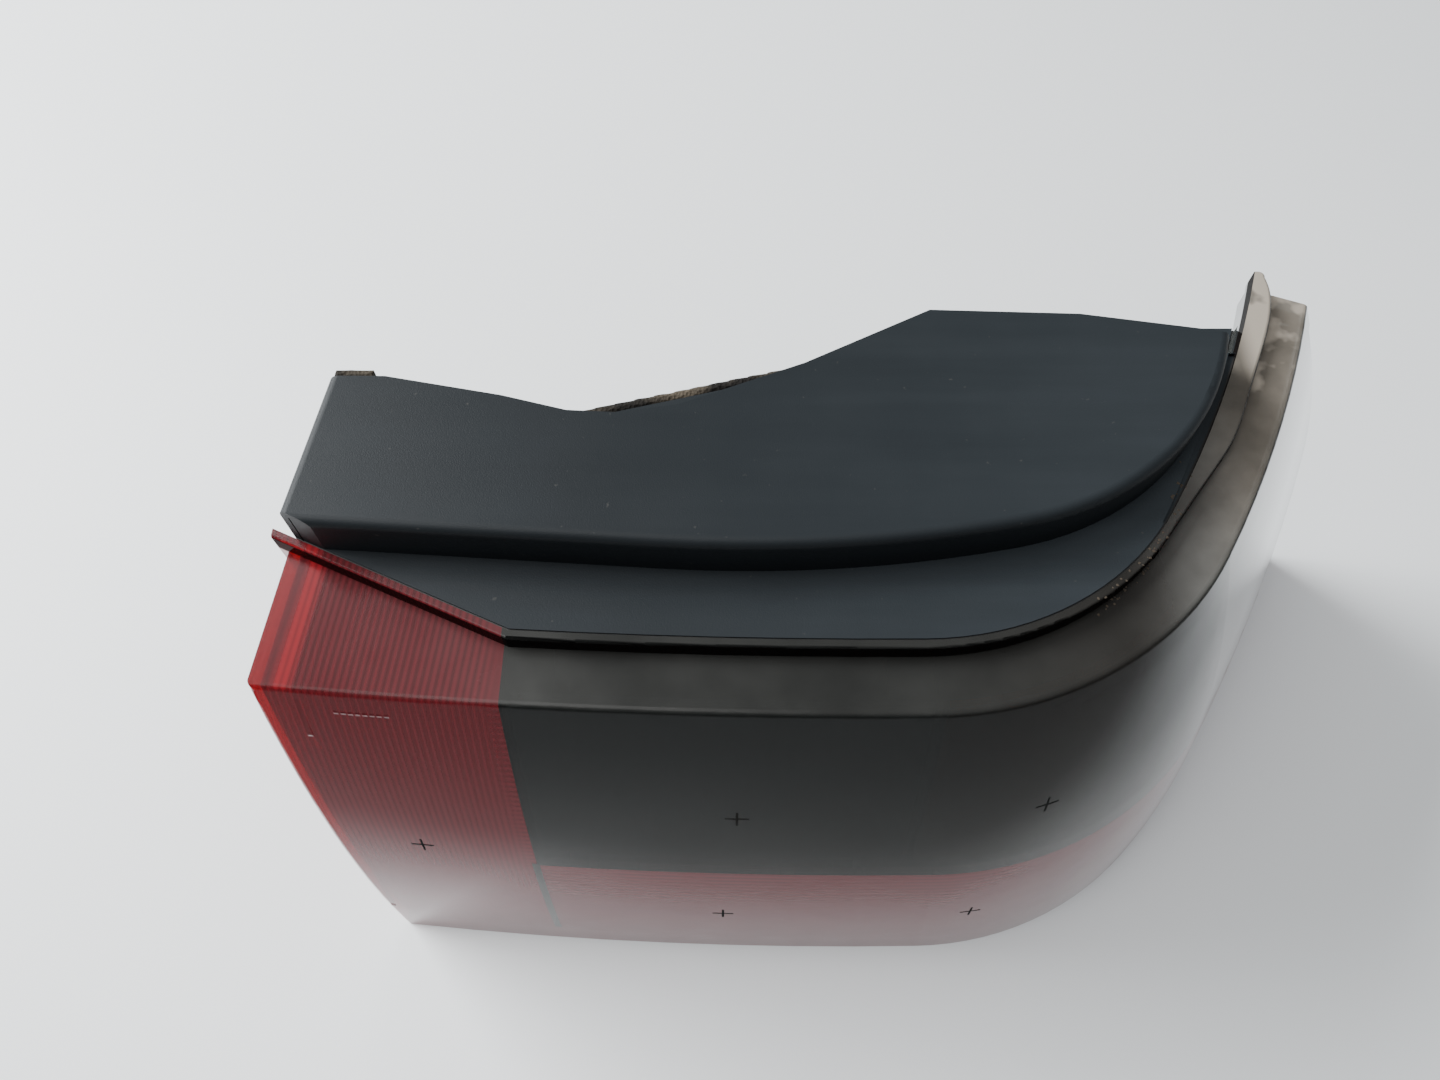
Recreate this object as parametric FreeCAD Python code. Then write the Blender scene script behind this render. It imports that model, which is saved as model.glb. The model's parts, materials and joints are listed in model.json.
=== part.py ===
import FreeCAD, Part
import math
import os

# Rear combination lamp of a saloon car, right-hand side, in millimetres.
# While it is built: +X runs to the wrap-around end, -Y is the way the lens faces and
# +Z is up, with z = 0 on the underside. The finished lamp is centred over its underside.

V = FreeCAD.Vector

# Lens: three tangent arcs in plan, leaning back as they rise
LENS_TOP = 162.0
LENS_WALL = 2.6
INNER_END_X = (-120.4, -127.9)
FRONT_Y = 8.4
FRONT_HEADING = (-5.8, -5.7)
FRONT_END_HEADING = (0.9, 0.4)
FRONT_END_X = (74.0, 56.0)
CORNER_RADIUS = (127.0, 110.0)
CORNER_END_HEADING = (54.9, 56.6)
SIDE_RADIUS = (995.0, 460.0)
FACE_ARC_RADIUS = 600.0
FACE_LEAN = 3.0
INNER_END_TAPER = 0.084
FAR_Y = 192.0
LENS_EDGE_ROUND = 2.0
# Outer end: the top overhangs the rest and is cut square to the side
END_Y = 171.0
TIP_CORNER = (194.0, 175.4)
TIP_NORMAL = (0.366, 0.931)
OVERHANG_Z = 154.0

# Seam between lens and housing, set back from the lens's top edge
SEAM_DEPTH = 19.5
SEAM_KINK_X = -57.6
SEAM_SLANT = (0.9102, -0.4142)
SEAM_KINK_SHIFT = 0.2452
SEAL_THICKNESS = 0.5
FLANGE_THICKNESS = 2.5
FLANGE_TOP = 167.5
FLANGE_END_X = (-120.6, -128.1)
FLANGE_ROUND = 0.8
# Broad end of the flange: outline of its outer edge, from the corner to the rounded tip
FIN_BOTTOM = 160.0
FIN_EDGE = ((124.5, 78.5), (133.1, 89.3), (139.6, 97.4), (145.9, 105.2), (154.2, 116.0), (163.4, 133.5),
            (171.8, 151.0), (179.6, 170.0), (180.9, 176.5), (180.7, 182.6))
FIN_TIP = ((180.7, 182.6), (180.3, 184.7), (178.6, 185.4))
FIN_BACK = ((178.6, 185.4), (176.0, 185.4), (118.0, 88.0), (124.5, 78.5))
FIN_ROUND = 1.2
# Groove in the housing's band behind the broad end of the flange
GROOVE_EDGE = ((127.0, 87.5), (134.5, 100.0), (143.2, 116.0), (154.0, 135.5), (160.6, 149.9))
GROOVE_DEPTH = 1.5

# Colour fields
RED_EDGE_X = -59.3
RED_TOP = 77.0
STRIPE_X = (-61.0, -58.5)
STRIPE_BOTTOM = 15.0

# Housing
WALL = 2.5
ROOF = 182.0
BAND = 167.5
REAR_TOP = 155.0
RISER_START = (-121.7, 79.5)
RISER_HEADING = -3.8
RISER_STRAIGHT = 105.0
RISER_ARCS = ((383.4, 11.4), (91.7, 73.6))
ROOF_ROUND = 3.0
LEFT_WALL_FOOT = (-121.7, 79.5)
LEFT_WALL_SLOPE = 0.1215
ROOF_BACK = ((-115.6, 129.7), (-98.8, 129.3), (-64.0, 122.3), (-44.5, 116.9), (-30.0, 116.1),
             (-12.0, 119.0), (25.2, 134.3), (64.3, 155.0), (110.0, 153.4), (155.0, 146.0))
TAIL_END = (160.5, 171.0)
REAR_PLANE = ((-150.0, 129.8), (-49.0, 132.3), (28.0, 152.3), (64.0, 158.5), (150.0, 158.5))
REAR_WINDOW = (-112.8, 120.0, 9.0, 147.0)
BACK_WALL = (105.5, 108.0)
WING_WALL = (11.5, 14.0)
BAND_END_Y = 150.0
CHAMBER_END_Y = 146.0

# Bulbs: name, x, z, reflector mouth radius, reflector depth, side of the contact spring
BULBS = (("fog", -95.0, 86.0, 19.0, 8.0, (1, 0)),
         ("reverse", 5.0, 113.0, 33.0, 22.0, (-1, 0)),
         ("turn", 98.5, 112.0, 24.0, 14.0, (0, 1)),
         ("stop", 1.0, 41.0, 32.0, 20.0, (0, 1)),
         ("tail", 87.5, 41.0, 32.0, 20.0, (0, -1)))
BULB_PASSAGE = 15.0
REFLECTOR_BORE = 14.0
REFLECTOR_WALL = 1.2
GLASS_RADIUS = 12.6
GLASS_CENTRE_Y = 84.0
NECK_RADIUS = 7.0
BASE_RADIUS = 7.45
BASE_Y = (99.0, 116.0)
CONTACT_END_Y = 118.0
PIN_RADIUS = 1.0
PIN_REACH = 8.6
PIN_Y = 110.0
TWIST = 20.0
SOCKET_INNER = 7.52
SOCKET_OUTER = 8.7
SOCKET_Y = (100.0, 117.0)

# Bulb carrier
CARRIER = (-112.0, 118.5, 20.0, 134.0)
CARRIER_Y = (109.5, 112.0)
CARRIER_ROUND = 8.0
TRACK_THICKNESS = 0.6
TRACK_WIDTH = 3.0
PAD_RADIUS = 10.2
SPRING_FOOT = 14.0
SLOT_START = 79.0
VENT = (60.0, 143.5)
CONNECTOR_X = (-71.0, -15.0)
CONNECTOR_Z = (68.0, 86.0)
CONNECTOR_END_Y = 131.0
CONNECTOR_WALL = 2.0
PIN_ROW_Z = 77.0
PIN_ROW_X = (-64.0, -57.0, -50.0, -43.0, -36.0, -29.0, -22.0)

# Latches
LATCH_X = 20.0
LATCH_WIDTH = 12.0
PIVOT_RADIUS = 1.5
PIVOT_BORE = 1.55
PIVOT_Y = 115.0
PIVOT_Z = (131.8, 22.2)

# Studs: x, z and the plane they stand on
STUDS = ((-98.0, 142.0, 131.4), (138.0, 128.0, 158.5), (138.0, 28.0, 158.5))
STUD_RADIUS = 3.0
STUD_NECK_RADIUS = 3.6
STUD_LENGTH = 20.0
GASKET_THICKNESS = 4.5


def mix(pair, share):
    """Value between a pair's first and second."""
    return pair[0] + (pair[1] - pair[0]) * share


def face_setback(z):
    """How far the lens face has leaned back at a height."""
    foot = math.radians(FACE_LEAN)
    lean = math.sin(foot) + z / FACE_ARC_RADIUS
    return FACE_ARC_RADIUS * (math.cos(foot) - math.sqrt(1 - lean * lean))


def lens_arcs(z, inset, left_x=None):
    """Points and arcs of the lens section at a height, moved inward by inset.

    Returns a list of (start, middle, end) points in plan. The first arc starts at left_x.
    """
    share = face_setback(z) / face_setback(LENS_TOP)
    rise = z / LENS_TOP
    end_x = mix(INNER_END_X, rise)
    heading = math.radians(mix(FRONT_HEADING, share))
    turn_heading = math.radians(mix(FRONT_END_HEADING, share))
    run = mix(FRONT_END_X, share) - end_x
    front_radius = run / (math.sin(turn_heading) - math.sin(heading))
    centre_x = end_x - front_radius * math.sin(heading)
    centre_y = FRONT_Y + face_setback(z) + front_radius * math.cos(heading)
    if left_x is None:
        left_x = end_x + inset
    start = math.asin((left_x - centre_x) / (front_radius - inset))
    corner_heading = math.radians(mix(CORNER_END_HEADING, share))
    side_radius = mix(SIDE_RADIUS, share) - inset
    spans = [(front_radius - inset, start, turn_heading),
             (mix(CORNER_RADIUS, share) - inset, turn_heading, corner_heading)]
    x = centre_x + (front_radius - inset) * math.sin(start)
    y = centre_y - (front_radius - inset) * math.cos(start)
    arcs = []
    for radius, first, last in spans:
        arcs.append(plan_arc(x, y, radius, first, last))
        x, y = arcs[-1][2]
    last = math.acos(math.cos(corner_heading) - (FAR_Y - y) / side_radius)
    arcs.append(plan_arc(x, y, side_radius, corner_heading, last))
    return arcs


def plan_arc(x, y, radius, first, last):
    """Start, middle and end of an arc that turns left between two headings in radians."""
    points = []
    for heading in (first, (first + last) / 2, last):
        points.append((x + radius * (math.sin(heading) - math.sin(first)),
                       y - radius * (math.cos(heading) - math.cos(first))))
    return points


def arc_edges(arcs, z):
    """Edges of plan arcs laid at a height."""
    edges = []
    for first, middle, last in arcs:
        edges.append(Part.Arc(V(*first, z), V(*middle, z), V(*last, z)).toShape())
    return edges


def line_edges(points, z):
    """Straight edges through plan points at a height."""
    edges = []
    for first, last in zip(points, points[1:]):
        edges.append(Part.makeLine(V(*first, z), V(*last, z)))
    return edges


def prism(edges, height):
    """Upright solid over a closed loop of edges."""
    wire = Part.Wire(Part.__sortEdges__(edges))
    return Part.Face(wire).extrude(V(0, 0, height))


def block(x, y, z):
    """Box between pairs of x, y and z."""
    return Part.makeBox(x[1] - x[0], y[1] - y[0], z[1] - z[0], V(x[0], y[0], z[0]))


def rod(x, z, radius, y):
    """Cylinder along Y between two y values."""
    return Part.makeCylinder(radius, y[1] - y[0], V(x, y[0], z), V(0, 1, 0))


def lens_loft(inset, bottom, top, left_x=None):
    """Solid inside the lens surface, moved inward by inset, between two heights."""
    steps = 5
    wires = []
    for step in range(steps + 1):
        z = bottom + (top - bottom) * step / steps
        arcs = lens_arcs(z, inset, left_x)
        start = arcs[0][0]
        end = arcs[-1][2]
        back_x = start[0] + INNER_END_TAPER * (FAR_Y - start[1])
        closing = [end, (back_x, FAR_Y), start]
        wires.append(Part.Wire(arc_edges(arcs, z) + line_edges(closing, z)))
    return Part.makeLoft(wires, True)


def seam_edges(setback, z):
    """Edges of the seam line, moved back from the seam by setback."""
    normal = (-SEAM_SLANT[1], SEAM_SLANT[0])
    front = lens_arcs(LENS_TOP, SEAM_DEPTH, SEAM_KINK_X)
    kink = front[0][0]
    kink_x = kink[0] + SEAM_KINK_SHIFT * setback
    arcs = lens_arcs(LENS_TOP, SEAM_DEPTH + setback, kink_x)
    kink = arcs[0][0]
    reach = 100.0
    far_left = (kink[0] - reach * SEAM_SLANT[0], kink[1] + reach * normal[0])
    end = arcs[-1][2]
    closing = [end, (end[0], 240.0), (far_left[0], 240.0), far_left, kink]
    return arc_edges(arcs, z) + line_edges(closing, z)


def behind_seam(setback):
    """Everything behind the seam, moved back by setback."""
    return prism(seam_edges(setback, -10.0), 220.0)


def right_of_left_wall(inset):
    """Everything to the right of the housing's left wall."""
    points = []
    for y in (-20.0, 240.0):
        x = LEFT_WALL_FOOT[0] + LEFT_WALL_SLOPE * (y - LEFT_WALL_FOOT[1]) + inset
        points.append((x, y))
    loop = points + [(270.0, 240.0), (270.0, -20.0), points[0]]
    return prism(line_edges(loop, -10.0), 220.0)


def behind_riser(inset):
    """Everything behind the step that rises from the band to the roof."""
    heading = math.radians(RISER_HEADING)
    start = (RISER_START[0] - inset * math.sin(heading),
             RISER_START[1] + inset * math.cos(heading))
    bend = (start[0] + RISER_STRAIGHT * math.cos(heading),
            start[1] + RISER_STRAIGHT * math.sin(heading))
    x, y = bend
    arcs = []
    for radius, end in RISER_ARCS:
        last = math.radians(end)
        arcs.append(plan_arc(x, y, radius - inset, heading, last))
        x, y = arcs[-1][2]
        heading = last
    reach = 80.0
    far = (x + reach * math.cos(heading), y + reach * math.sin(heading))
    left_x = start[0] - 20.0
    closing = [(x, y), far, (left_x, far[1]), (left_x, start[1]), start, bend]
    return prism(arc_edges(arcs, -10.0) + line_edges(closing, -10.0), 220.0)


def before_roof_back(inset, tail_y=None):
    """Everything in front of the roof's back edge, with the tail behind the lens's end."""
    points = [(x, y - inset) for x, y in ROOF_BACK]
    points[0] = (-150.0, points[0][1])
    corner = (ROOF_BACK[-1][0] + inset, ROOF_BACK[-1][1] - inset)
    points[-1] = corner
    if tail_y is None:
        points.append((270.0, corner[1]))
    else:
        slope = (TAIL_END[0] - ROOF_BACK[-1][0]) / (TAIL_END[1] - ROOF_BACK[-1][1])
        points.append((corner[0] + slope * (tail_y - corner[1]), tail_y))
        points.append((270.0, tail_y))
    loop = points + [(270.0, -20.0), (-150.0, -20.0), points[0]]
    return prism(line_edges(loop, -10.0), 220.0)


def before_rear_plane(shift, tail_y=None):
    """Everything in front of the mounting plane, moved back by shift, with or without the tail."""
    points = [(x, y + shift) for x, y in REAR_PLANE]
    end_y = points[-1][1]
    if tail_y is not None:
        slope = (TAIL_END[0] - ROOF_BACK[-1][0]) / (TAIL_END[1] - ROOF_BACK[-1][1])
        side_x = ROOF_BACK[-1][0] + slope * (end_y - ROOF_BACK[-1][1])
        points.append((side_x, end_y))
        points.append((side_x + slope * (tail_y - end_y), tail_y))
        end_y = tail_y
    loop = points + [(270.0, end_y), (270.0, -20.0), (-150.0, -20.0), points[0]]
    return prism(line_edges(loop, -10.0), 220.0)


def levels(low, high):
    """Slab between two heights, wider than the lamp."""
    return block((-200.0, 300.0), (-30.0, 250.0), (low, high))


def housing_blank():
    """Outside of the housing as one solid block."""
    left = right_of_left_wall(0.0)
    seam = behind_seam(SEAL_THICKNESS)
    band = levels(0.0, BAND).common(before_roof_back(0.0, BAND_END_Y)).common(left).common(seam)
    roof = levels(0.0, ROOF).common(before_roof_back(0.0)).common(left).common(behind_riser(0.0))
    rear = levels(0.0, REAR_TOP).common(before_rear_plane(0.0, TAIL_END[1]))
    rear = rear.common(left).common(seam)
    rounded = []
    for edge in roof.Edges:
        box = edge.BoundBox
        if box.ZMin > ROOF - 0.1 and box.YMin < 100.0:
            rounded.append(edge)
    roof = roof.makeFillet(ROOF_ROUND, rounded)
    return roof.common(seam).fuse([band, rear]).removeSplitter()


def band_groove():
    """Shallow groove in the band behind the broad end of the flange."""
    bottom = BAND - GROOVE_DEPTH
    curve = Part.BSplineCurve()
    curve.interpolate([V(x, y, bottom) for x, y in GROOVE_EDGE])
    end = GROOVE_EDGE[-1]
    closing = [end, (200.0, end[1]), (200.0, GROOVE_EDGE[0][1]), GROOVE_EDGE[0]]
    return prism([curve.toShape()] + line_edges(closing, bottom), 2 * GROOVE_DEPTH)


def chamber():
    """Space in front of the back wall, open towards the lens."""
    left = right_of_left_wall(WALL)
    band = levels(WALL, BAND - WALL).common(before_roof_back(WALL, CHAMBER_END_Y))
    roof = levels(WALL, ROOF - WALL).common(before_roof_back(WALL)).common(behind_riser(WALL))
    rear = levels(WALL, REAR_TOP - WALL).common(before_rear_plane(-WALL))
    space = band.fuse([roof, rear]).common(left)
    behind = block((-200.0, 300.0), (BACK_WALL[0], 250.0), (-20.0, 220.0))
    return space.cut(behind.common(behind_seam(WING_WALL[0])))


def recess():
    """Space behind the back wall, which takes the bulb carrier."""
    left = right_of_left_wall(WALL)
    roof = levels(WALL, ROOF - WALL).common(before_roof_back(WALL + 0.3))
    roof = roof.common(behind_riser(WALL))
    rear = levels(WALL, REAR_TOP - WALL).common(before_rear_plane(-WALL))
    space = rear.fuse(roof).common(left)
    behind = block((-200.0, 147.0), (BACK_WALL[1], 250.0), (-20.0, 220.0))
    return space.common(behind).common(behind_seam(WING_WALL[1]))


def rear_strip(first, last, x_range, z_range):
    """Plate that follows the mounting plane, between two distances behind it."""
    front = [(x, y + first) for x, y in REAR_PLANE]
    back = [(x, y + last) for x, y in REAR_PLANE]
    loop = front + back[::-1] + [front[0]]
    plate = prism(line_edges(loop, z_range[0]), z_range[1] - z_range[0])
    return plate.common(block(x_range, (0.0, 250.0), z_range))


def catch(sign, latch_z):
    """Block on the back wall that a latch hooks behind; sign is +1 above, -1 below."""
    half = LATCH_WIDTH / 2 - 1.0
    x = (LATCH_X - half, LATCH_X + half)
    near = latch_z + sign * 7.2
    far = latch_z + sign * 13.2
    lip = latch_z + sign * 3.4
    body = block(x, (BACK_WALL[1] - 1.0, 130.0), (min(near, far), max(near, far)))
    nose = block(x, (126.5, 130.0), (min(near, lip), max(near, lip)))
    return body.fuse(nose)


def make_housing():
    """Moulded housing with its walls, mounting flange, bulb passages, catches and vent."""
    shell = housing_blank().cut([chamber(), recess(), band_groove()])
    window = block(REAR_WINDOW[:2], (0.0, 250.0), REAR_WINDOW[2:])
    flange = rear_strip(-WALL, 0.0, (-121.5, 150.0), (0.0, REAR_TOP))
    tab = rear_strip(-WALL, 0.0, (REAR_WINDOW[0], -84.0), (134.9, REAR_TOP))
    opening = window.common(rear_strip(-WALL - 1.0, 1.0, (-130.0, 150.0), (0.0, REAR_TOP)))
    shell = shell.cut(opening).fuse([flange.cut(opening), tab])
    bosses = [rod(STUDS[0][0], STUDS[0][1], 6.8, (STUDS[0][2] - 4.5, STUDS[0][2]))]
    for x, z, y in STUDS[1:]:
        bosses.append(rod(x, z, 8.0, (y - 4.5, y)))
    bosses.append(catch(1, PIVOT_Z[0]))
    bosses.append(catch(-1, PIVOT_Z[1]))
    bosses.append(rod(*VENT, 4.0, (BACK_WALL[1] - 1.0, 114.0)))
    shell = shell.fuse(bosses)
    holes = [rod(*VENT, 2.5, (BACK_WALL[0] - 1.0, 115.0))]
    for x, z, y in STUDS:
        holes.append(rod(x, z, STUD_NECK_RADIUS, (y - 10.0, y + 1.0)))
    for name, x, z, mouth, depth, side in BULBS:
        holes.append(rod(x, z, BULB_PASSAGE, (BACK_WALL[0] - 1.0, BACK_WALL[1] + 1.0)))
    return shell.cut(holes).removeSplitter()


def before_tip(shift):
    """Everything in front of the lens's outer end plane, moved forward by shift."""
    edge = (TIP_CORNER[0] - TIP_NORMAL[0] * shift, TIP_CORNER[1] - TIP_NORMAL[1] * shift)
    along = (TIP_NORMAL[1], -TIP_NORMAL[0])
    reach = (60.0, 400.0)
    right = (edge[0] + along[0] * reach[0], edge[1] + along[1] * reach[0])
    left = (edge[0] - along[0] * reach[1], edge[1] - along[1] * reach[1])
    loop = [right, left, (left[0], -40.0), (right[0], -40.0), right]
    return prism(line_edges(loop, -20.0), 240.0)


def fin():
    """Broad end of the flange, which runs past the lens's outer end to a rounded tip."""
    curve = Part.BSplineCurve()
    curve.interpolate([V(x, y, FIN_BOTTOM) for x, y in FIN_EDGE])
    tip = [V(x, y, FIN_BOTTOM) for x, y in FIN_TIP]
    edges = [curve.toShape(), Part.Arc(*tip).toShape()] + line_edges(FIN_BACK, FIN_BOTTOM)
    plate = prism(edges, FLANGE_TOP - FIN_BOTTOM)
    top = [edge for edge in plate.Edges if edge.BoundBox.ZMin > FLANGE_TOP - 0.1]
    rounded = [edge for edge in top if edge.Curve.TypeId != "Part::GeomLine"]
    return plate.makeFillet(FIN_ROUND, rounded).cut(behind_seam(0.0))


def lens_shell():
    """Whole lens: face, side walls, flange at the seam and the fin at the tip."""
    solid = lens_loft(0.0, 0.0, LENS_TOP)
    rounded = []
    for edge in solid.Edges:
        box = edge.BoundBox
        along_top = box.ZMin > LENS_TOP - 0.1 and box.YMax < FAR_Y - 0.1
        rising = box.ZLength > LENS_TOP - 1.0 and box.XMax < -100.0 and box.YMax < 60.0
        if along_top and box.XLength > 10.0 or rising:
            rounded.append(edge)
    solid = solid.makeFillet(LENS_EDGE_ROUND, rounded)
    strip = behind_seam(-FLANGE_THICKNESS)
    outline = Part.makePolygon([V(FLANGE_END_X[0], -50, 0), V(FLANGE_END_X[1], -50, FLANGE_TOP),
                                V(190.0, -50, FLANGE_TOP), V(260.0, -50, 0),
                                V(FLANGE_END_X[0], -50, 0)])
    extent = Part.Face(outline).extrude(V(0, 300, 0))
    flange = strip.common(extent).cut(levels(-20.0, 0.0))
    flange = flange.common(lens_loft(0.0, 0.0, FLANGE_TOP, INNER_END_X[1] - 10.0))
    front = []
    for edge in flange.Edges:
        box = edge.BoundBox
        if box.ZMin > FLANGE_TOP - 0.1 and box.XLength > 5.0 and box.YMax < FAR_Y - 0.1:
            front.append(edge)
    flange = flange.makeFillet(FLANGE_ROUND, front)
    inside = lens_loft(LENS_WALL, LENS_WALL, LENS_TOP - LENS_WALL)
    across = (-200.0, 300.0)
    hollow = inside.common(block(across, (-20.0, END_Y - LENS_WALL), (-10.0, 200.0)))
    overhang = inside.common(before_tip(LENS_WALL)).cut(behind_seam(-FLANGE_THICKNESS))
    overhang = overhang.common(block(across, (END_Y, 250.0), (OVERHANG_Z - 1.0, 200.0)))
    whole = solid.fuse(flange).cut([hollow, overhang]).cut(behind_seam(0.0))
    limit = before_tip(0.0).common(levels(OVERHANG_Z, 220.0))
    limit = limit.fuse(block(across, (-20.0, END_Y), (-10.0, 220.0)))
    return whole.common(limit).fuse(fin()).removeSplitter()


def split_lens(whole):
    """The red and the smoked shots of the lens, which meet face to face."""
    smoke_zone = block((RED_EDGE_X, 300.0), (-30.0, 250.0), (RED_TOP, 220.0))
    stripe = block(STRIPE_X, (-30.0, 40.0), (STRIPE_BOTTOM, RED_TOP + 1.0))
    smoke_zone = smoke_zone.fuse(stripe)
    return whole.cut(smoke_zone), whole.common(smoke_zone)


def make_seal():
    """Adhesive bead between the lens and the housing's front edge."""
    strip = behind_seam(0.0).cut(behind_seam(SEAL_THICKNESS))
    edge = 0.5
    band = levels(edge, BAND - edge).common(before_roof_back(edge, BAND_END_Y - edge))
    rear = levels(edge, REAR_TOP - edge).common(before_rear_plane(-edge, TAIL_END[1] - edge))
    outer = band.fuse(rear).common(right_of_left_wall(edge))
    return strip.common(outer).cut([chamber(), band_groove()])


def inner_sheet(x_range, z_range):
    """Curved sheet just behind the lens face, over one lamp function."""
    outer = lens_loft(4.0, z_range[0], z_range[1])
    inner = lens_loft(6.0, z_range[0] - 1.0, z_range[1] + 1.0)
    sheet = outer.cut(inner).common(block(x_range, (-20.0, 100.0), z_range))
    return sheet.cut(behind_seam(-1.0))


def make_dividers():
    """Light-tight partitions between the lamp functions."""
    depth = (-20.0, BACK_WALL[0])
    plates = block((-61.0, -59.0), depth, (0.0, LENS_TOP))
    others = [block((-60.0, 200.0), depth, (76.0, 78.0)),
              block((59.0, 61.0), depth, (77.0, LENS_TOP)),
              block((44.0, 46.0), depth, (0.0, 77.0))]
    plates = plates.fuse(others)
    room = lens_loft(7.0, 4.0, LENS_TOP - 4.0).common(chamber())
    return plates.common(room)


def make_reflector(x, z, mouth, depth):
    """Bright bowl around a bulb, standing on the back wall."""
    foot = BACK_WALL[0]
    bulge = 0.62
    loops = []
    for grow in (0.0, REFLECTOR_WALL):
        start = V(REFLECTOR_BORE + grow, foot, 0)
        end = V(mouth + grow * 0.4, foot - depth, 0)
        middle = V(start.x + (end.x - start.x) * bulge, foot - depth * (1 - bulge), 0)
        loops.append((start, middle, end))
    inner, outer = loops
    edges = [Part.Arc(*inner).toShape(), Part.makeLine(inner[2], outer[2]),
             Part.Arc(*outer).toShape(), Part.makeLine(outer[0], inner[0])]
    face = Part.Face(Part.Wire(Part.__sortEdges__(edges)))
    bowl = face.revolve(V(0, 0, 0), V(0, 1, 0), 360)
    bowl.translate(V(x, 0, z))
    return bowl


def rounded_plate(x, z, y, radius):
    """Upright plate with rounded corners, facing along Y."""
    plate = block(x, y, z)
    corners = [edge for edge in plate.Edges if edge.BoundBox.YLength > y[1] - y[0] - 0.01
               and edge.BoundBox.XLength < 0.01 and edge.BoundBox.ZLength < 0.01]
    return plate.makeFillet(radius, corners)


def make_carrier_plate():
    """Plate that holds the sockets, with the latch ears and stiffening ribs."""
    plate = rounded_plate(CARRIER[:2], CARRIER[2:], CARRIER_Y, CARRIER_ROUND)
    parts = []
    half = LATCH_WIDTH / 2
    for z, low, high in ((PIVOT_Z[0], 129.4, 134.0), (PIVOT_Z[1], 20.0, 24.6)):
        for x in (LATCH_X - half - 3.0, LATCH_X + half + 0.4):
            parts.append(block((x, x + 2.6), (CARRIER_Y[1] - 0.5, 118.0), (low, high)))
    for x in (-80.0, 60.0, 112.0):
        parts.append(block((x, x + 1.6), (CARRIER_Y[1] - 0.5, 116.0), (32.0, 56.0)))
    plate = plate.fuse(parts)
    holes = []
    for name, x, z, mouth, depth, side in BULBS:
        holes.append(rod(x, z, SOCKET_OUTER, (CARRIER_Y[0] - 1.0, CARRIER_Y[1] + 1.0)))
    for z in PIVOT_Z:
        pin = Part.makeCylinder(PIVOT_BORE, 40.0, V(LATCH_X - 20.0, PIVOT_Y, z), V(1, 0, 0))
        holes.append(pin)
    return plate.cut(holes).removeSplitter()


def make_carrier_seal():
    """Foam ring between the carrier plate and the housing's back wall."""
    y = (BACK_WALL[1], CARRIER_Y[0])
    outer = rounded_plate((-110.8, 117.3), (21.2, 132.8), y, 7.0)
    inner = rounded_plate((-109.6, 115.3), (23.2, 130.8), y, 5.0)
    return outer.cut(inner)


def make_latch(z, sign):
    """Sprung latch on the carrier: pivot, arm, hook and thumb pad."""
    half = LATCH_WIDTH / 2
    x = (LATCH_X - half + 0.2, LATCH_X + half - 0.2)
    barrel = Part.makeCylinder(2.0, x[1] - x[0], V(x[0], PIVOT_Y, z), V(1, 0, 0))
    pin = Part.makeCylinder(PIVOT_RADIUS, LATCH_WIDTH + 5.2,
                            V(LATCH_X - half - 2.6, PIVOT_Y, z), V(1, 0, 0))
    arm = block(x, (PIVOT_Y, 137.0), (z - 1.0, z + 1.0))
    hook_profile = Part.makePolygon([V(x[0], 121.0, z), V(x[0], 121.0, z + sign * 1.4),
                                     V(x[0], 125.7, z + sign * 5.2), V(x[0], 125.7, z),
                                     V(x[0], 121.0, z)])
    hook = Part.Face(hook_profile).extrude(V(x[1] - x[0], 0, 0))
    pad_z = sorted((z, z + sign * 3.0))
    pad = block(x, (133.5, 137.0), pad_z)
    return barrel.fuse([pin, arm, hook, pad]).removeSplitter()


def make_sockets():
    """Bayonet shells for the five bulbs, with slots for the bulb pins."""
    shells = []
    for name, x, z, mouth, depth, side in BULBS:
        tube = rod(x, z, SOCKET_OUTER, SOCKET_Y).cut(rod(x, z, SOCKET_INNER, SOCKET_Y))
        clear = 0.25
        for turn in (0.0, 180.0):
            slot = Part.makeCylinder(SOCKET_OUTER + 1.0, 2 * (PIN_RADIUS + clear),
                                     V(x, PIN_Y - PIN_RADIUS - clear, z), V(0, 1, 0),
                                     TWIST + 22.0)
            slot.rotate(V(x, 0, z), V(0, 1, 0), turn + SLOT_START)
            tube = tube.cut(slot)
        shells.append(tube)
    return Part.makeCompound(shells)


def pin_side(turn):
    """Direction of a bulb pin in the x-z plane."""
    angle = math.radians(turn)
    return math.cos(angle), math.sin(angle)


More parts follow.
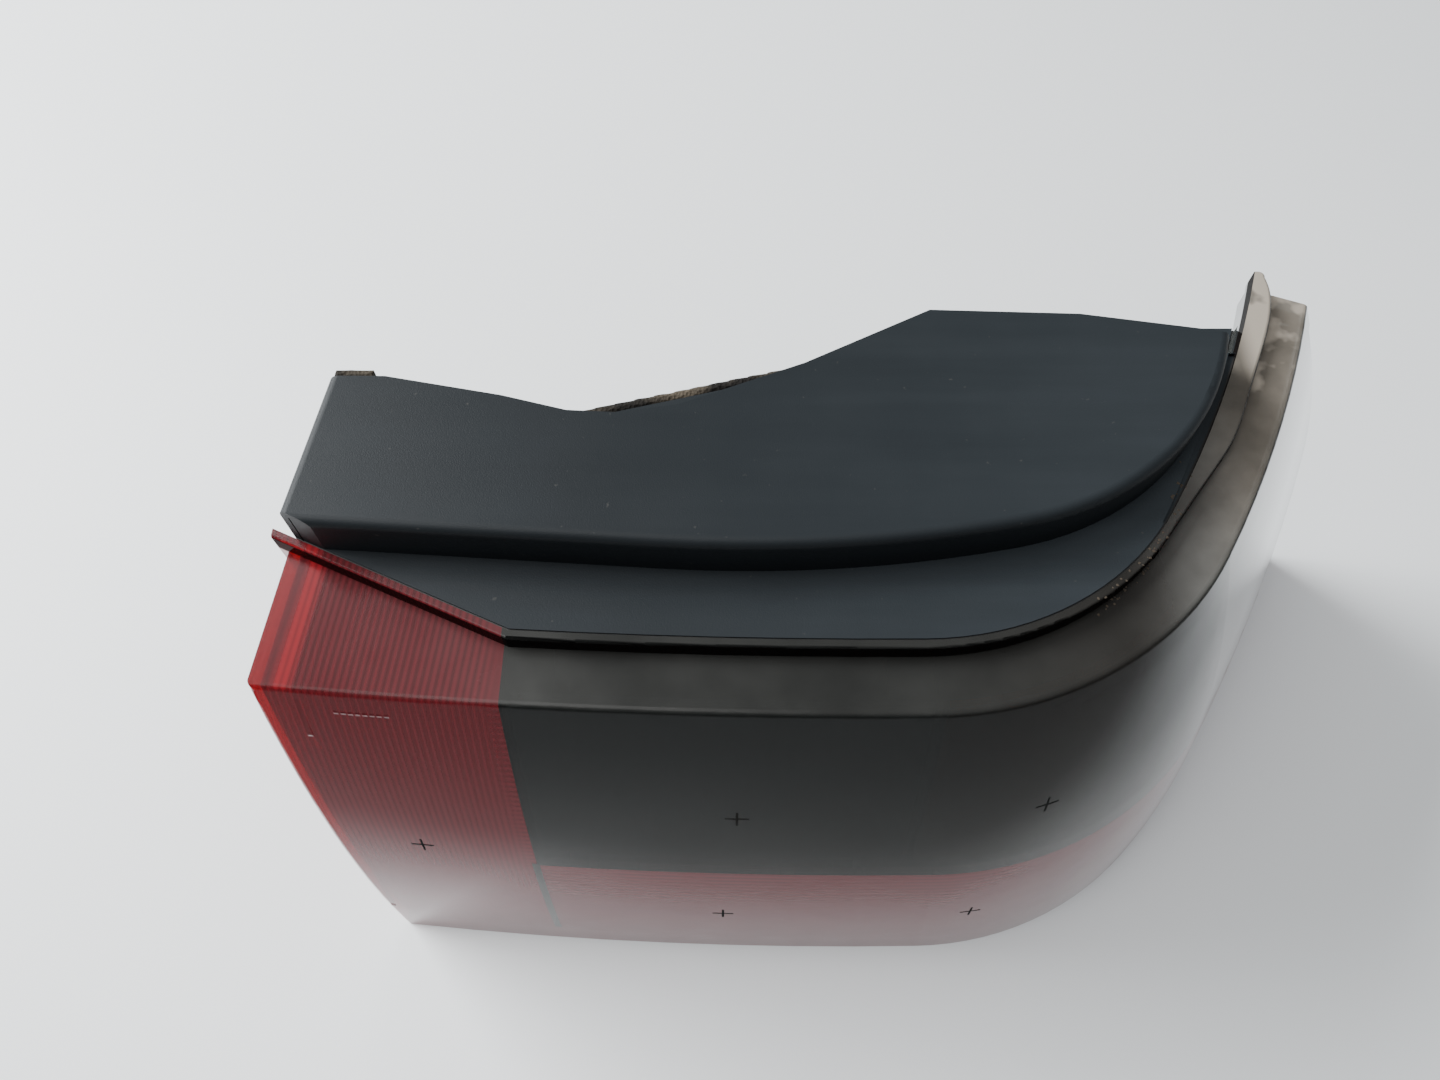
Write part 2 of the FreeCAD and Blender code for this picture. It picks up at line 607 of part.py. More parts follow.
def make_bulb(x, z):
    """Metal base with its pins, glass envelope, and filament on its supports."""
    base = rod(x, z, BASE_RADIUS, BASE_Y)
    for turn in (0.0, 180.0):
        across = pin_side(turn)
        base = base.fuse(Part.makeCylinder(PIN_RADIUS, PIN_REACH, V(x, PIN_Y, z),
                                           V(across[0], 0, across[1])))
    base = base.fuse(rod(x, z, 3.0, (BASE_Y[1] - 0.5, CONTACT_END_Y)))
    base = base.cut(rod(x, z, BASE_RADIUS - 1.0, (BASE_Y[0] - 1.0, BASE_Y[0] + 3.0)))
    globe = Part.makeSphere(GLASS_RADIUS, V(x, GLASS_CENTRE_Y, z))
    neck = rod(x, z, NECK_RADIUS - 0.6, (GLASS_CENTRE_Y, BASE_Y[0] + 3.0))
    inner = Part.makeSphere(GLASS_RADIUS - 0.8, V(x, GLASS_CENTRE_Y, z))
    inner = inner.fuse(rod(x, z, NECK_RADIUS - 1.6, (GLASS_CENTRE_Y, BASE_Y[0] + 1.0)))
    glass = globe.fuse(neck).cut(inner).removeSplitter()
    supports = []
    for reach in (-3.5, 3.5):
        supports.append(rod(x + reach, z, 0.4, (83.0, BASE_Y[0] + 1.0)))
    coil = Part.makeCylinder(0.7, 7.0, V(x - 3.5, 83.0, z), V(1, 0, 0))
    filament = coil.fuse(supports).removeSplitter()
    return base.removeSplitter(), glass, filament


def track(points, y):
    """Flat strip through x-z points, with square corners."""
    half = TRACK_WIDTH / 2
    strips = []
    for first, last in zip(points, points[1:]):
        x = sorted((first[0], last[0]))
        z = sorted((first[1], last[1]))
        strips.append(block((x[0] - half, x[1] + half), y, (z[0] - half, z[1] + half)))
    return strips[0].fuse(strips[1:]) if len(strips) > 1 else strips[0]


def make_ground_track():
    """Stamped strips that join the socket shells to the two ground terminals."""
    y = (CARRIER_Y[1], CARRIER_Y[1] + TRACK_THICKNESS)
    spot = {name: (x, z) for name, x, z, mouth, depth, side in BULBS}
    bus = PIN_ROW_Z
    shared = [track([(PIN_ROW_X[6], bus), (spot["turn"][0], bus)], y),
              track([(spot["reverse"][0], bus), (spot["reverse"][0], 104.0)], y),
              track([(spot["turn"][0], bus), (spot["turn"][0], 103.0)], y),
              track([(spot["tail"][0], bus), (spot["tail"][0], 50.0)], y),
              track([(30.0, bus), (30.0, spot["stop"][1]), (10.0, spot["stop"][1])], y)]
    pads = [rod(x, z, PAD_RADIUS, y) for name, x, z, mouth, depth, side in BULBS]
    holes = [rod(x, z, SOCKET_OUTER, y) for name, x, z, mouth, depth, side in BULBS]
    main = shared[0].fuse(shared[1:] + pads[1:]).cut(holes).removeSplitter()
    fog_route = [(PIN_ROW_X[0], bus), (PIN_ROW_X[0], 62.0), (spot["fog"][0], 62.0),
                 (spot["fog"][0], 77.0)]
    fog = track(fog_route, y).fuse(pads[0]).cut(holes[0]).removeSplitter()
    return Part.makeCompound([main, fog])


def feed_routes():
    """Centre line of each bulb's feed strip, from its terminal to its contact spring."""
    row = PIN_ROW_Z
    spot = {name: (x, z) for name, x, z, mouth, depth, side in BULBS}
    fog = [(PIN_ROW_X[1], row), (PIN_ROW_X[1], spot["fog"][1]),
           (spot["fog"][0] + SPRING_FOOT, spot["fog"][1])]
    turn = [(PIN_ROW_X[2], row), (PIN_ROW_X[2], spot["turn"][1] + SPRING_FOOT),
            (spot["turn"][0], spot["turn"][1] + SPRING_FOOT)]
    reverse = [(PIN_ROW_X[3], row), (PIN_ROW_X[3], spot["reverse"][1]),
               (spot["reverse"][0] - SPRING_FOOT, spot["reverse"][1])]
    tail = [(PIN_ROW_X[4], row), (PIN_ROW_X[4], spot["tail"][1] - SPRING_FOOT),
            (spot["tail"][0], spot["tail"][1] - SPRING_FOOT)]
    stop = [(PIN_ROW_X[5], row), (PIN_ROW_X[5], 60.0), (spot["stop"][0], 60.0),
            (spot["stop"][0], spot["stop"][1] + SPRING_FOOT)]
    return [fog, turn, reverse, tail, stop]


def make_feed_tracks():
    """Stamped strips that feed the bulbs, each apart from the others."""
    y = (CARRIER_Y[1], CARRIER_Y[1] + TRACK_THICKNESS)
    return Part.makeCompound([track(route, y).removeSplitter() for route in feed_routes()])


def make_contact_springs():
    """Bent leaf over each bulb's end contact, standing on its feed strip."""
    foot_y = CARRIER_Y[1] + TRACK_THICKNESS
    leaf_y = (CONTACT_END_Y + 0.1, CONTACT_END_Y + 0.6)
    leaves = []
    for name, x, z, mouth, depth, side in BULBS:
        far = SPRING_FOOT + 1.2
        near = far - 0.6
        half = 1.4
        if side[0]:
            span = sorted((x + side[0] * far, x - side[0] * 2.0))
            post = sorted((x + side[0] * far, x + side[0] * near))
            leaf = block(span, leaf_y, (z - half, z + half))
            leg = block(post, (foot_y, leaf_y[1]), (z - half, z + half))
        else:
            span = sorted((z + side[1] * far, z - side[1] * 2.0))
            post = sorted((z + side[1] * far, z + side[1] * near))
            leaf = block((x - half, x + half), leaf_y, span)
            leg = block((x - half, x + half), (foot_y, leaf_y[1]), post)
        leaves.append(leaf.fuse(leg).removeSplitter())
    return Part.makeCompound(leaves)


def blades(y):
    """Flat blade terminals in one row."""
    return [block((x - 0.4, x + 0.4), y, (PIN_ROW_Z - 2.4, PIN_ROW_Z + 2.4)) for x in PIN_ROW_X]


def make_connector():
    """Socket for the wiring plug, with a key slot in its wall."""
    foot = CARRIER_Y[1] + TRACK_THICKNESS
    floor = foot + 3.0
    shell = block(CONNECTOR_X, (foot, CONNECTOR_END_Y), CONNECTOR_Z)
    edge = CONNECTOR_WALL
    cavity = block((CONNECTOR_X[0] + edge, CONNECTOR_X[1] - edge), (floor, CONNECTOR_END_Y + 1.0),
                   (CONNECTOR_Z[0] + edge, CONNECTOR_Z[1] - edge))
    key = block((-46.0, -40.0), (CONNECTOR_END_Y - 8.0, CONNECTOR_END_Y + 1.0),
                (CONNECTOR_Z[1] - edge - 1.0, CONNECTOR_Z[1] + 1.0))
    return shell.cut([cavity, key] + blades((foot - 1.0, floor + 1.0)))


def make_terminals():
    """Blade terminals standing in the connector's floor."""
    foot = CARRIER_Y[1] + TRACK_THICKNESS
    return Part.makeCompound(blades((foot, CONNECTOR_END_Y - 3.0)))


def make_gasket():
    """Foam gasket that seals the housing's flange to the car body."""
    outer = rear_strip(0.0, GASKET_THICKNESS, (-121.5, 129.5), (0.6, REAR_TOP))
    inner = block((-113.8, 121.5), (0.0, 250.0), (8.6, 148.8))
    notch = rod(STUDS[0][0], STUDS[0][1], 8.0, (100.0, 200.0))
    return outer.cut([inner, notch])


def make_studs():
    """Three studs with square heads held in the flange."""
    studs = []
    for x, z, y in STUDS:
        shank = rod(x, z, STUD_RADIUS, (y, y + STUD_LENGTH))
        neck = rod(x, z, STUD_NECK_RADIUS, (y - 5.0, y))
        head = block((x - 4.5, x + 4.5), (y - 8.5, y - 4.5), (z - 4.5, z + 4.5))
        studs.append(shank.fuse([neck, head]).removeSplitter())
    return Part.makeCompound(studs)


def make_vent_cap():
    """Soft cap over the vent pipe."""
    cap = rod(*VENT, 6.0, (109.0, 117.0))
    return cap.cut(rod(*VENT, 4.0, (108.0, 114.0)))


def build():
    """All sub-parts by node name."""
    nodes = {}
    nodes["lens_red"], nodes["lens_smoke"] = split_lens(lens_shell())
    nodes["housing"] = make_housing()
    nodes["lens_seal"] = make_seal()
    nodes["turn_filter"] = inner_sheet((62.0, 200.0), (79.0, LENS_TOP - LENS_WALL))
    nodes["reverse_optic"] = inner_sheet((-57.5, 58.0), (79.0, LENS_TOP - LENS_WALL))
    nodes["chamber_dividers"] = make_dividers()
    for name, x, z, mouth, depth, side in BULBS:
        nodes[name + "_reflector"] = make_reflector(x, z, mouth, depth)
        base, glass, filament = make_bulb(x, z)
        nodes[name + "_bulb_base"] = base
        nodes[name + "_bulb_glass"] = glass
        nodes[name + "_bulb_filament"] = filament
    nodes["carrier_plate"] = make_carrier_plate()
    nodes["carrier_seal"] = make_carrier_seal()
    nodes["bulb_sockets"] = make_sockets()
    nodes["ground_track"] = make_ground_track()
    nodes["feed_tracks"] = make_feed_tracks()
    nodes["contact_springs"] = make_contact_springs()
    nodes["connector_socket"] = make_connector()
    nodes["connector_terminals"] = make_terminals()
    nodes["latch_upper"] = make_latch(PIVOT_Z[0], 1)
    nodes["latch_lower"] = make_latch(PIVOT_Z[1], -1)
    nodes["body_gasket"] = make_gasket()
    nodes["mounting_studs"] = make_studs()
    nodes["vent_cap"] = make_vent_cap()
    return nodes


def main():
    os.makedirs("parts", exist_ok=True)
    nodes = build()
    whole = Part.makeCompound(list(nodes.values())).optimalBoundingBox(False, False)
    shift = V(-whole.Center.x, -whole.Center.y, -whole.ZMin)
    print("shift", round(shift.x, 4), round(shift.y, 4), round(shift.z, 4))
    for name, shape in nodes.items():
        moved = shape.copy()
        moved.translate(shift)
        moved.exportStep("parts/" + name + ".step")
        box = moved.optimalBoundingBox(False, False)
        sides = (box.XMin, box.XMax, box.YMin, box.YMax, box.ZMin, box.ZMax)
        print(name, "solids", len(moved.Solids), "valid", moved.isValid(),
              "volume", round(moved.Volume, 1), [round(side, 2) for side in sides])


main()
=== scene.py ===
import json
import math
import random

import bmesh
import bpy
from mathutils import Matrix, Vector, noise
from mathutils.bvhtree import BVHTree


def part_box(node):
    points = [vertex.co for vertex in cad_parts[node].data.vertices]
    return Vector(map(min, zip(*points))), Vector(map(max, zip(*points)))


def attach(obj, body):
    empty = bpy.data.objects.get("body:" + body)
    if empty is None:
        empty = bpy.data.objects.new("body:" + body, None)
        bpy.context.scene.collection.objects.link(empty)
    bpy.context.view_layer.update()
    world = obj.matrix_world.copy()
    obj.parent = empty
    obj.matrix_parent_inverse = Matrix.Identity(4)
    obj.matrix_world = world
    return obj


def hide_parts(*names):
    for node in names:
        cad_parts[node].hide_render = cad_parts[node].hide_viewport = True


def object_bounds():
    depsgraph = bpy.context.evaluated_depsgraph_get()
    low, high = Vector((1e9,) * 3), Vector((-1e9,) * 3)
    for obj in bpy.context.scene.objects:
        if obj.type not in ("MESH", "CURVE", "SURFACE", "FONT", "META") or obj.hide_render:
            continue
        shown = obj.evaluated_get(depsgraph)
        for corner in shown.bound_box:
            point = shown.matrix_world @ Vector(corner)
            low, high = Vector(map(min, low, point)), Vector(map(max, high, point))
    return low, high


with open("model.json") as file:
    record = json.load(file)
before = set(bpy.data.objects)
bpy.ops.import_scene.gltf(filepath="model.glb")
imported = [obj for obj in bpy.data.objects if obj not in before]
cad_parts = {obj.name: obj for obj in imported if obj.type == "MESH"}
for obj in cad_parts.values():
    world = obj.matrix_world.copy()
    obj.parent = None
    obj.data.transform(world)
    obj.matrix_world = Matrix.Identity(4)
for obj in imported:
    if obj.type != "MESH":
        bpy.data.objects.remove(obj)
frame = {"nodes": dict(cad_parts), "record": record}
cad_box = [list(corner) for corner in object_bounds()]

# Rear combination lamp, in metres, in the row frame: +X is the wrap-around end, -Y the way
# the lens faces and z = 0 the surface it stands on.
MM = 0.001
BULBS = ("fog", "reverse", "turn", "stop", "tail")
LAMP = "lamp_body"
CARRIER = "bulb_carrier"

# Camera over the lens, looking steeply down
CAMERA_AT = (-0.0593, -0.1647, 0.434)
CAMERA_TILT = 30.0
CAMERA_LENS = 27.05

# Lens optics
FLUTE_PITCH = 2.0 * MM
END_TAPER = 0.084
RIB_PITCH = 2.6 * MM
CORNER_CENTRE = (0.0127, 0.0424)
CORNER_START_RADIUS = 0.098
CAVITY_Y = -0.0575
SEAM_CENTRE = (-0.0043, 0.0404)
SEAM_RADIUS = 0.0905

# Where looks change, each as the start and end of a soft step along one axis
DUST_START_X = (-0.185, -0.125)
DUST_THIN_X = (-0.08, 0.06)
DUST_FAR_X = (0.05, 0.10)
TIP_X = (0.098, 0.112)
TIP_Y = (0.030, 0.052)
FLANGE_Z = (0.1640, 0.1665)
TAN_X = (0.07, 0.11)
# Height and width steps of the pale film low on the lenses, partly haziness and partly painted
# reflection of the floor
HAZE_AND_REFLECTION_Z = (0.0, 0.165)
HAZE_AND_REFLECTION_X = (-0.01, 0.08)
# Where the painted flute stripes of the red inner end stop
STRIPES_END_X = (-0.125, -0.118)
BROWN_X = (-0.01, 0.07)
# Height above which upright lens faces in the groove under the flange get painted shade
GROOVE_SHADE_Z = (0.1612, 0.1620)
# Housing film steps: thinner toward the left as painted shade, and thicker on the band below the
# roof
HOUSING_DUST_AND_SHADE_X = (-0.12, 0.08)
ROOF_Z = (0.169, 0.180)


# ---- materials -------------------------------------------------------------------------


def node(tree, kind, inputs=None, **settings):
    """New shader node; inputs maps a socket's name or number to a value or another socket."""
    made = tree.nodes.new(kind)
    for name, value in settings.items():
        setattr(made, name, value)
    for name, value in (inputs or {}).items():
        if isinstance(value, bpy.types.NodeSocket):
            tree.links.new(value, made.inputs[name])
        else:
            made.inputs[name].default_value = value
    return made


def calculate(tree, operation, first, second=0.0, clamp=False):
    """Result of a math node."""
    made = node(tree, "ShaderNodeMath", {0: first, 1: second}, operation=operation, use_clamp=clamp)
    return made.outputs[0]


def mix_colour(tree, share, first, second):
    """Colour between two colours."""
    made = node(tree, "ShaderNodeMix", {0: share, 6: first, 7: second}, data_type="RGBA")
    return made.outputs[2]


def rgb(red, green, blue):
    """Colour with full alpha."""
    return (red, green, blue, 1.0)


def place(tree):
    """Object coordinates, which are the row frame's metres."""
    return node(tree, "ShaderNodeTexCoord").outputs["Object"]


def speckle(tree, per_metre, detail=3.0, stretch=(1, 1, 1), roughness=0.55):
    """Noise with this many cells in a metre, from 0 to 1."""
    spot = node(tree, "ShaderNodeMapping", {"Vector": place(tree), "Scale": stretch}).outputs[0]
    made = node(tree, "ShaderNodeTexNoise", {"Vector": spot, "Scale": per_metre, "Detail": detail,
                                             "Roughness": roughness})
    return made.outputs[0]


def ramp(tree, value, low, high):
    """0 below low, 1 above high, and smooth in between."""
    made = node(tree, "ShaderNodeMapRange", {"Value": value, "From Min": low, "From Max": high},
                interpolation_type="SMOOTHSTEP")
    return made.outputs[0]


def along(tree, axis, step):
    """Mask that rises from 0 to 1 along a row axis, over a soft step."""
    parts = node(tree, "ShaderNodeSeparateXYZ", {0: place(tree)})
    return ramp(tree, parts.outputs[axis], *step)


def facing_up(tree, low=0.5, high=0.9):
    """Mask of the faces that look up, where dust settles and where the red lens gets painted shade.
    """
    normal = node(tree, "ShaderNodeNewGeometry").outputs["Normal"]
    return ramp(tree, node(tree, "ShaderNodeSeparateXYZ", {0: normal}).outputs[2], low, high)


def bumps(tree, height, distance, strength=1.0):
    """Normal from a height map."""
    made = node(tree, "ShaderNodeBump", {"Height": height, "Distance": distance,
                                         "Strength": strength})
    return made.outputs[0]


def start_material(name):
    """Empty material and its node tree."""
    made = bpy.data.materials.new(name)
    made.use_nodes = True
    made.node_tree.nodes.clear()
    return made, made.node_tree


def finish_material(made, surface):
    """Joins a shader to the material's output."""
    tree = made.node_tree
    output = node(tree, "ShaderNodeOutputMaterial")
    tree.links.new(surface, output.inputs["Surface"])
    return made


def principled(tree, **inputs):
    """Principled shader; names use _ for a space."""
    named = {name.replace("_", " "): value for name, value in inputs.items()}
    return node(tree, "ShaderNodeBsdfPrincipled", named).outputs[0]


def edge_mirror(tree, facing=0.012, shape=7.0):
    """How much a clear plastic surface mirrors: little head-on and a lot at a flat angle."""
    slant = node(tree, "ShaderNodeLayerWeight", {"Blend": 0.5}).outputs["Facing"]
    share = add_scaled(tree, calculate(tree, "POWER", slant, shape), 1.0 - facing, facing)
    flat = calculate(tree, "MULTIPLY", ramp(tree, slant, 0.55, 0.95), 0.45)
    return calculate(tree, "ADD", share, flat, True)


def add_scaled(tree, value, scale, offset):
    """value times scale, plus offset."""
    return calculate(tree, "ADD", calculate(tree, "MULTIPLY", value, scale), offset)


def scratches(tree, per_metre=55.0):
    """Sparse fine lines in two directions."""
    total = None
    for turn, stretch in ((0.5, (1, 30, 1)), (1.9, (30, 1, 1))):
        spot = node(tree, "ShaderNodeMapping", {"Vector": place(tree), "Rotation": (0.3, 0.2, turn),
                                                "Scale": stretch}).outputs[0]
        lines = node(tree, "ShaderNodeTexNoise", {"Vector": spot, "Scale": per_metre,
                                                  "Detail": 2.0}).outputs[0]
        line = ramp(tree, lines, 0.73, 0.78)
        total = line if total is None else calculate(tree, "MAXIMUM", total, line)
    return total


def black_plastic(name="black_housing", dusty=1.0):
    """Moulded black plastic with a fine grain, grey dust on top and rubbed scratches; the dust film
    is thinned toward the left as painted shade and is thicker on the band below the roof.
    """
    made, tree = start_material(name)
    cloud = speckle(tree, 14.0, 5.0)
    streak = speckle(tree, 90.0, 4.0, (0.08, 1.0, 1.0))
    specks = ramp(tree, speckle(tree, 420.0, 2.0), 0.72, 0.80)
    film = add_scaled(tree, calculate(tree, "ADD", cloud, streak), 0.42 * dusty, 0.10 * dusty)
    film = calculate(tree, "MULTIPLY", film, facing_up(tree, 0.3, 0.95))
    # Painted shade: the film thins toward the left, where the left panel lights the roof most.
    film = calculate(tree, "MULTIPLY", film,
                     add_scaled(tree, along(tree, 0, HOUSING_DUST_AND_SHADE_X), 0.7, 0.4))
    # The film is half as thick again on the band below the roof as on the roof.
    film = calculate(tree, "MULTIPLY", film, add_scaled(tree, along(tree, 2, ROOF_Z), -0.5, 1.5))
    film = calculate(tree, "ADD", film, calculate(tree, "MULTIPLY", scratches(tree), 0.06))
    tint = mix_colour(tree, film, rgb(0.0085, 0.0102, 0.0118), rgb(0.030, 0.036, 0.041))
    tint = mix_colour(tree, calculate(tree, "MULTIPLY", specks, 0.4), tint, rgb(0.07, 0.068, 0.062))
    grain = speckle(tree, 2600.0, 2.0)
    rough = add_scaled(tree, cloud, 0.20, 0.36)
    shader = principled(tree, Base_Color=tint, Roughness=rough, Specular_IOR_Level=0.13,
                        Normal=bumps(tree, grain, 0.00012, 0.5))
    return finish_material(made, shader)


def dust_and_sheen_film(tree, up):
    """Shares of settled dust and of a pale film low on a lens, partly haziness and partly a painted
    reflection of the pale floor; the dust is thickest at the tip.
    """
    cloud = speckle(tree, 26.0, 5.0)
    right = along(tree, 0, DUST_THIN_X)
    far = along(tree, 0, DUST_FAR_X)
    spread = calculate(tree, "ADD", add_scaled(tree, right, -0.05, 0.21),
                       calculate(tree, "MULTIPLY", far, 0.85))
    thin = calculate(tree, "MULTIPLY", cloud, spread)
    thin = calculate(tree, "MULTIPLY", thin,
                     add_scaled(tree, along(tree, 0, DUST_START_X), 0.9, 0.1))
    tip = calculate(tree, "MULTIPLY", along(tree, 0, TIP_X), along(tree, 1, TIP_Y))
    patch = ramp(tree, speckle(tree, 60.0, 3.0), 0.38, 0.60)
    raised = add_scaled(tree, along(tree, 2, FLANGE_Z), 0.45, 0.0)
    caked = calculate(tree, "MULTIPLY", tip, calculate(tree, "ADD", patch, raised, True))
    film = calculate(tree, "MAXIMUM", thin, caked)
    film = calculate(tree, "MULTIPLY", film, up)
    # The pale film grows toward the bottom, partly haziness and partly a painted reflection of the
    # pale floor that the lower lens mirrors; it is also stronger toward the right.
    low = calculate(tree, "SUBTRACT", 1.0, along(tree, 2, HAZE_AND_REFLECTION_Z))
    haze_and_sheen = calculate(tree, "MULTIPLY", low, add_scaled(tree, cloud, 0.20, 0.20))
    haze_and_sheen = calculate(tree, "MULTIPLY", haze_and_sheen, add_scaled(tree, along(tree, 0, HAZE_AND_REFLECTION_X), 0.8, 1.0))
    return film, haze_and_sheen


def painted_red_stripes_and_glow(tree, colour, up):
    """Painted dark stripes and lines that stand in for the light and shade of the flutes and ribs
    in the red field, and painted red light beside its inner end.
    """
    low_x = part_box("lens_red")[0].x
    parts = node(tree, "ShaderNodeSeparateXYZ", {0: place(tree)})
    slanted = calculate(tree, "SUBTRACT", parts.outputs[0],
                        calculate(tree, "MULTIPLY", parts.outputs[1], END_TAPER))
    start = low_x - END_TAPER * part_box("lens_red")[0].y
    rise = ramp(tree, slanted, start + 3.0 * MM, start + 4.4 * MM)
    fall = ramp(tree, slanted, start + 7.0 * MM, start + 10.0 * MM)
    # Painted light: a bright red band on the top faces about 3 to 10 mm in from the inner end, as
    # if lit from inside; it is weaker on the dark stripes.
    painted_glow = calculate(tree, "MULTIPLY", calculate(tree, "SUBTRACT", rise, fall), up)
    waves = calculate(tree, "SINE", calculate(tree, "MULTIPLY", slanted, 2 * math.pi / FLUTE_PITCH))
    waves = add_scaled(tree, waves, 0.5, 0.5)
    inner = calculate(tree, "SUBTRACT", 1.0, along(tree, 0, STRIPES_END_X))
    # Painted shade: dark upright stripes at the inner end and dark level lines over the rest, at
    # the flutes' and ribs' pitch, stand in for how those optics bend light.
    lines = calculate(tree, "MULTIPLY", waves, calculate(tree, "MULTIPLY", inner,
                                                         add_scaled(tree, up, 0.45, 0.50)))
    level = calculate(tree, "SINE", calculate(tree, "MULTIPLY", parts.outputs[2],
                                              2 * math.pi / RIB_PITCH))
    level = calculate(tree, "MULTIPLY", add_scaled(tree, level, 0.25, 0.25),
                      calculate(tree, "SUBTRACT", 1.0, inner))
    lines = calculate(tree, "ADD", lines, level)
    colour = mix_colour(tree, lines, colour, rgb(0.06, 0.004, 0.006))
    painted_glow = calculate(tree, "MULTIPLY", painted_glow, add_scaled(tree, waves, -0.5, 1.0))
    return mix_colour(tree, painted_glow, colour, rgb(0.30, 0.009, 0.015))


def lens_plastic(name, body, dust, tint, see_through, second=None, painted_red_shading=False):
    """Clear tinted plastic: a body colour, what shows through it, and a polished surface, with
    painted shade in the groove under the flange.
    """
    made, tree = start_material(name)
    up = facing_up(tree, 0.6, 0.98)
    dusty, haze_and_sheen = dust_and_sheen_film(tree, up)
    film = calculate(tree, "MAXIMUM", dusty, haze_and_sheen)
    colour = body
    if second:
        colour = mix_colour(tree, along(tree, 0, BROWN_X), body, second)
    if painted_red_shading:
        # Painted shade: the red lens's faces that look up are darkened toward deep red.
        colour = mix_colour(tree, calculate(tree, "MULTIPLY", up, 0.35), colour,
                            rgb(0.03, 0.004, 0.007))
        colour = painted_red_stripes_and_glow(tree, colour, up)
    tan = calculate(tree, "MULTIPLY", along(tree, 0, TAN_X), up)
    settled = mix_colour(tree, tan, dust, rgb(0.34, 0.30, 0.25))
    # The dust colour is also the colour of the painted floor reflection low on the lens.
    colour = mix_colour(tree, film, colour, settled)
    fine = scratches(tree, 70.0)
    rough = calculate(tree, "ADD", add_scaled(tree, dusty, 0.5, 0.05),
                      calculate(tree, "MULTIPLY", haze_and_sheen, 0.08))
    rough = calculate(tree, "ADD", rough, calculate(tree, "MULTIPLY", fine, 0.1))
    rough = calculate(tree, "ADD", rough, calculate(tree, "MULTIPLY", up, 0.16))
    # Painted shade: upright faces above the lens top, in the groove under the flange, are painted
    # near black and lose most of their see-through and mirror.
    upright = calculate(tree, "SUBTRACT", 1.0, facing_up(tree, 0.35, 0.7))
    groove = calculate(tree, "MULTIPLY", along(tree, 2, GROOVE_SHADE_Z), upright)
    outside_groove_shade = calculate(tree, "SUBTRACT", 1.0, calculate(tree, "MULTIPLY", groove, 0.93))
    colour = mix_colour(tree, calculate(tree, "MULTIPLY", groove, 0.9), colour,
                        rgb(0.004, 0.003, 0.003))
    mat = principled(tree, Base_Color=colour, Roughness=0.7, Specular_IOR_Level=0.0)
    clear = node(tree, "ShaderNodeBsdfTransparent", {"Color": tint}).outputs[0]
    open_share = calculate(tree, "MULTIPLY", see_through,
                           calculate(tree, "SUBTRACT", 1.0, film))
    open_share = calculate(tree, "MULTIPLY", open_share, outside_groove_shade)
    inside = node(tree, "ShaderNodeMixShader", {0: open_share, 1: mat, 2: clear}).outputs[0]
    gloss = node(tree, "ShaderNodeBsdfGlossy", {"Color": rgb(1, 1, 1), "Roughness": rough})
    mirror = calculate(tree, "MULTIPLY", edge_mirror(tree),
                       calculate(tree, "SUBTRACT", 1.0, calculate(tree, "MULTIPLY", film, 0.6)))
    mirror = calculate(tree, "MULTIPLY", mirror, outside_groove_shade)
    surface = node(tree, "ShaderNodeMixShader", {0: mirror, 1: inside, 2: gloss.outputs[0]})
    return finish_material(made, surface.outputs[0])


def bright_metal(name, colour, rough, tarnish, tarnish_share=0.3):
    """Plated or bare metal with cloudy tarnish."""
    made, tree = start_material(name)
    cloud = ramp(tree, speckle(tree, 120.0, 5.0), 0.45, 0.75)
    tint = mix_colour(tree, calculate(tree, "MULTIPLY", cloud, tarnish_share), colour, tarnish)
    shine = add_scaled(tree, speckle(tree, 260.0, 4.0), 0.16, rough)
    grain = speckle(tree, 900.0, 2.0, (1, 6, 1))
    shader = principled(tree, Base_Color=tint, Metallic=1.0, Roughness=shine,
                        Normal=bumps(tree, grain, 0.00002, 0.4))
    return finish_material(made, shader)


def moulded(name, colour, dirt, rough=0.45, dirt_share=0.35, specular=0.5):
    """Moulded plastic or rubber with a fine grain and some dirt."""
    made, tree = start_material(name)
    cloud = ramp(tree, speckle(tree, 45.0, 6.0), 0.42, 0.78)
    tint = mix_colour(tree, calculate(tree, "MULTIPLY", cloud, dirt_share), colour, dirt)
    grain = speckle(tree, 2400.0, 2.0)
    shine = add_scaled(tree, speckle(tree, 90.0, 3.0), 0.2, rough)
    shader = principled(tree, Base_Color=tint, Roughness=shine, Specular_IOR_Level=specular,
                        Normal=bumps(tree, grain, 0.00008, 0.5))
    return finish_material(made, shader)


def foam_material():
    """Open, dusty black foam."""
    made, tree = start_material("foam")
    cells = node(tree, "ShaderNodeTexVoronoi", {"Vector": place(tree), "Scale": 900.0}).outputs[0]
    cloud = ramp(tree, speckle(tree, 60.0, 6.0), 0.40, 0.70)
    tint = mix_colour(tree, cloud, rgb(0.012, 0.011, 0.010), rgb(0.085, 0.070, 0.052))
    shader = principled(tree, Base_Color=tint, Roughness=0.95, Specular_IOR_Level=0.15,
                        Normal=bumps(tree, cells, 0.0006, 0.9))
    return finish_material(made, shader)


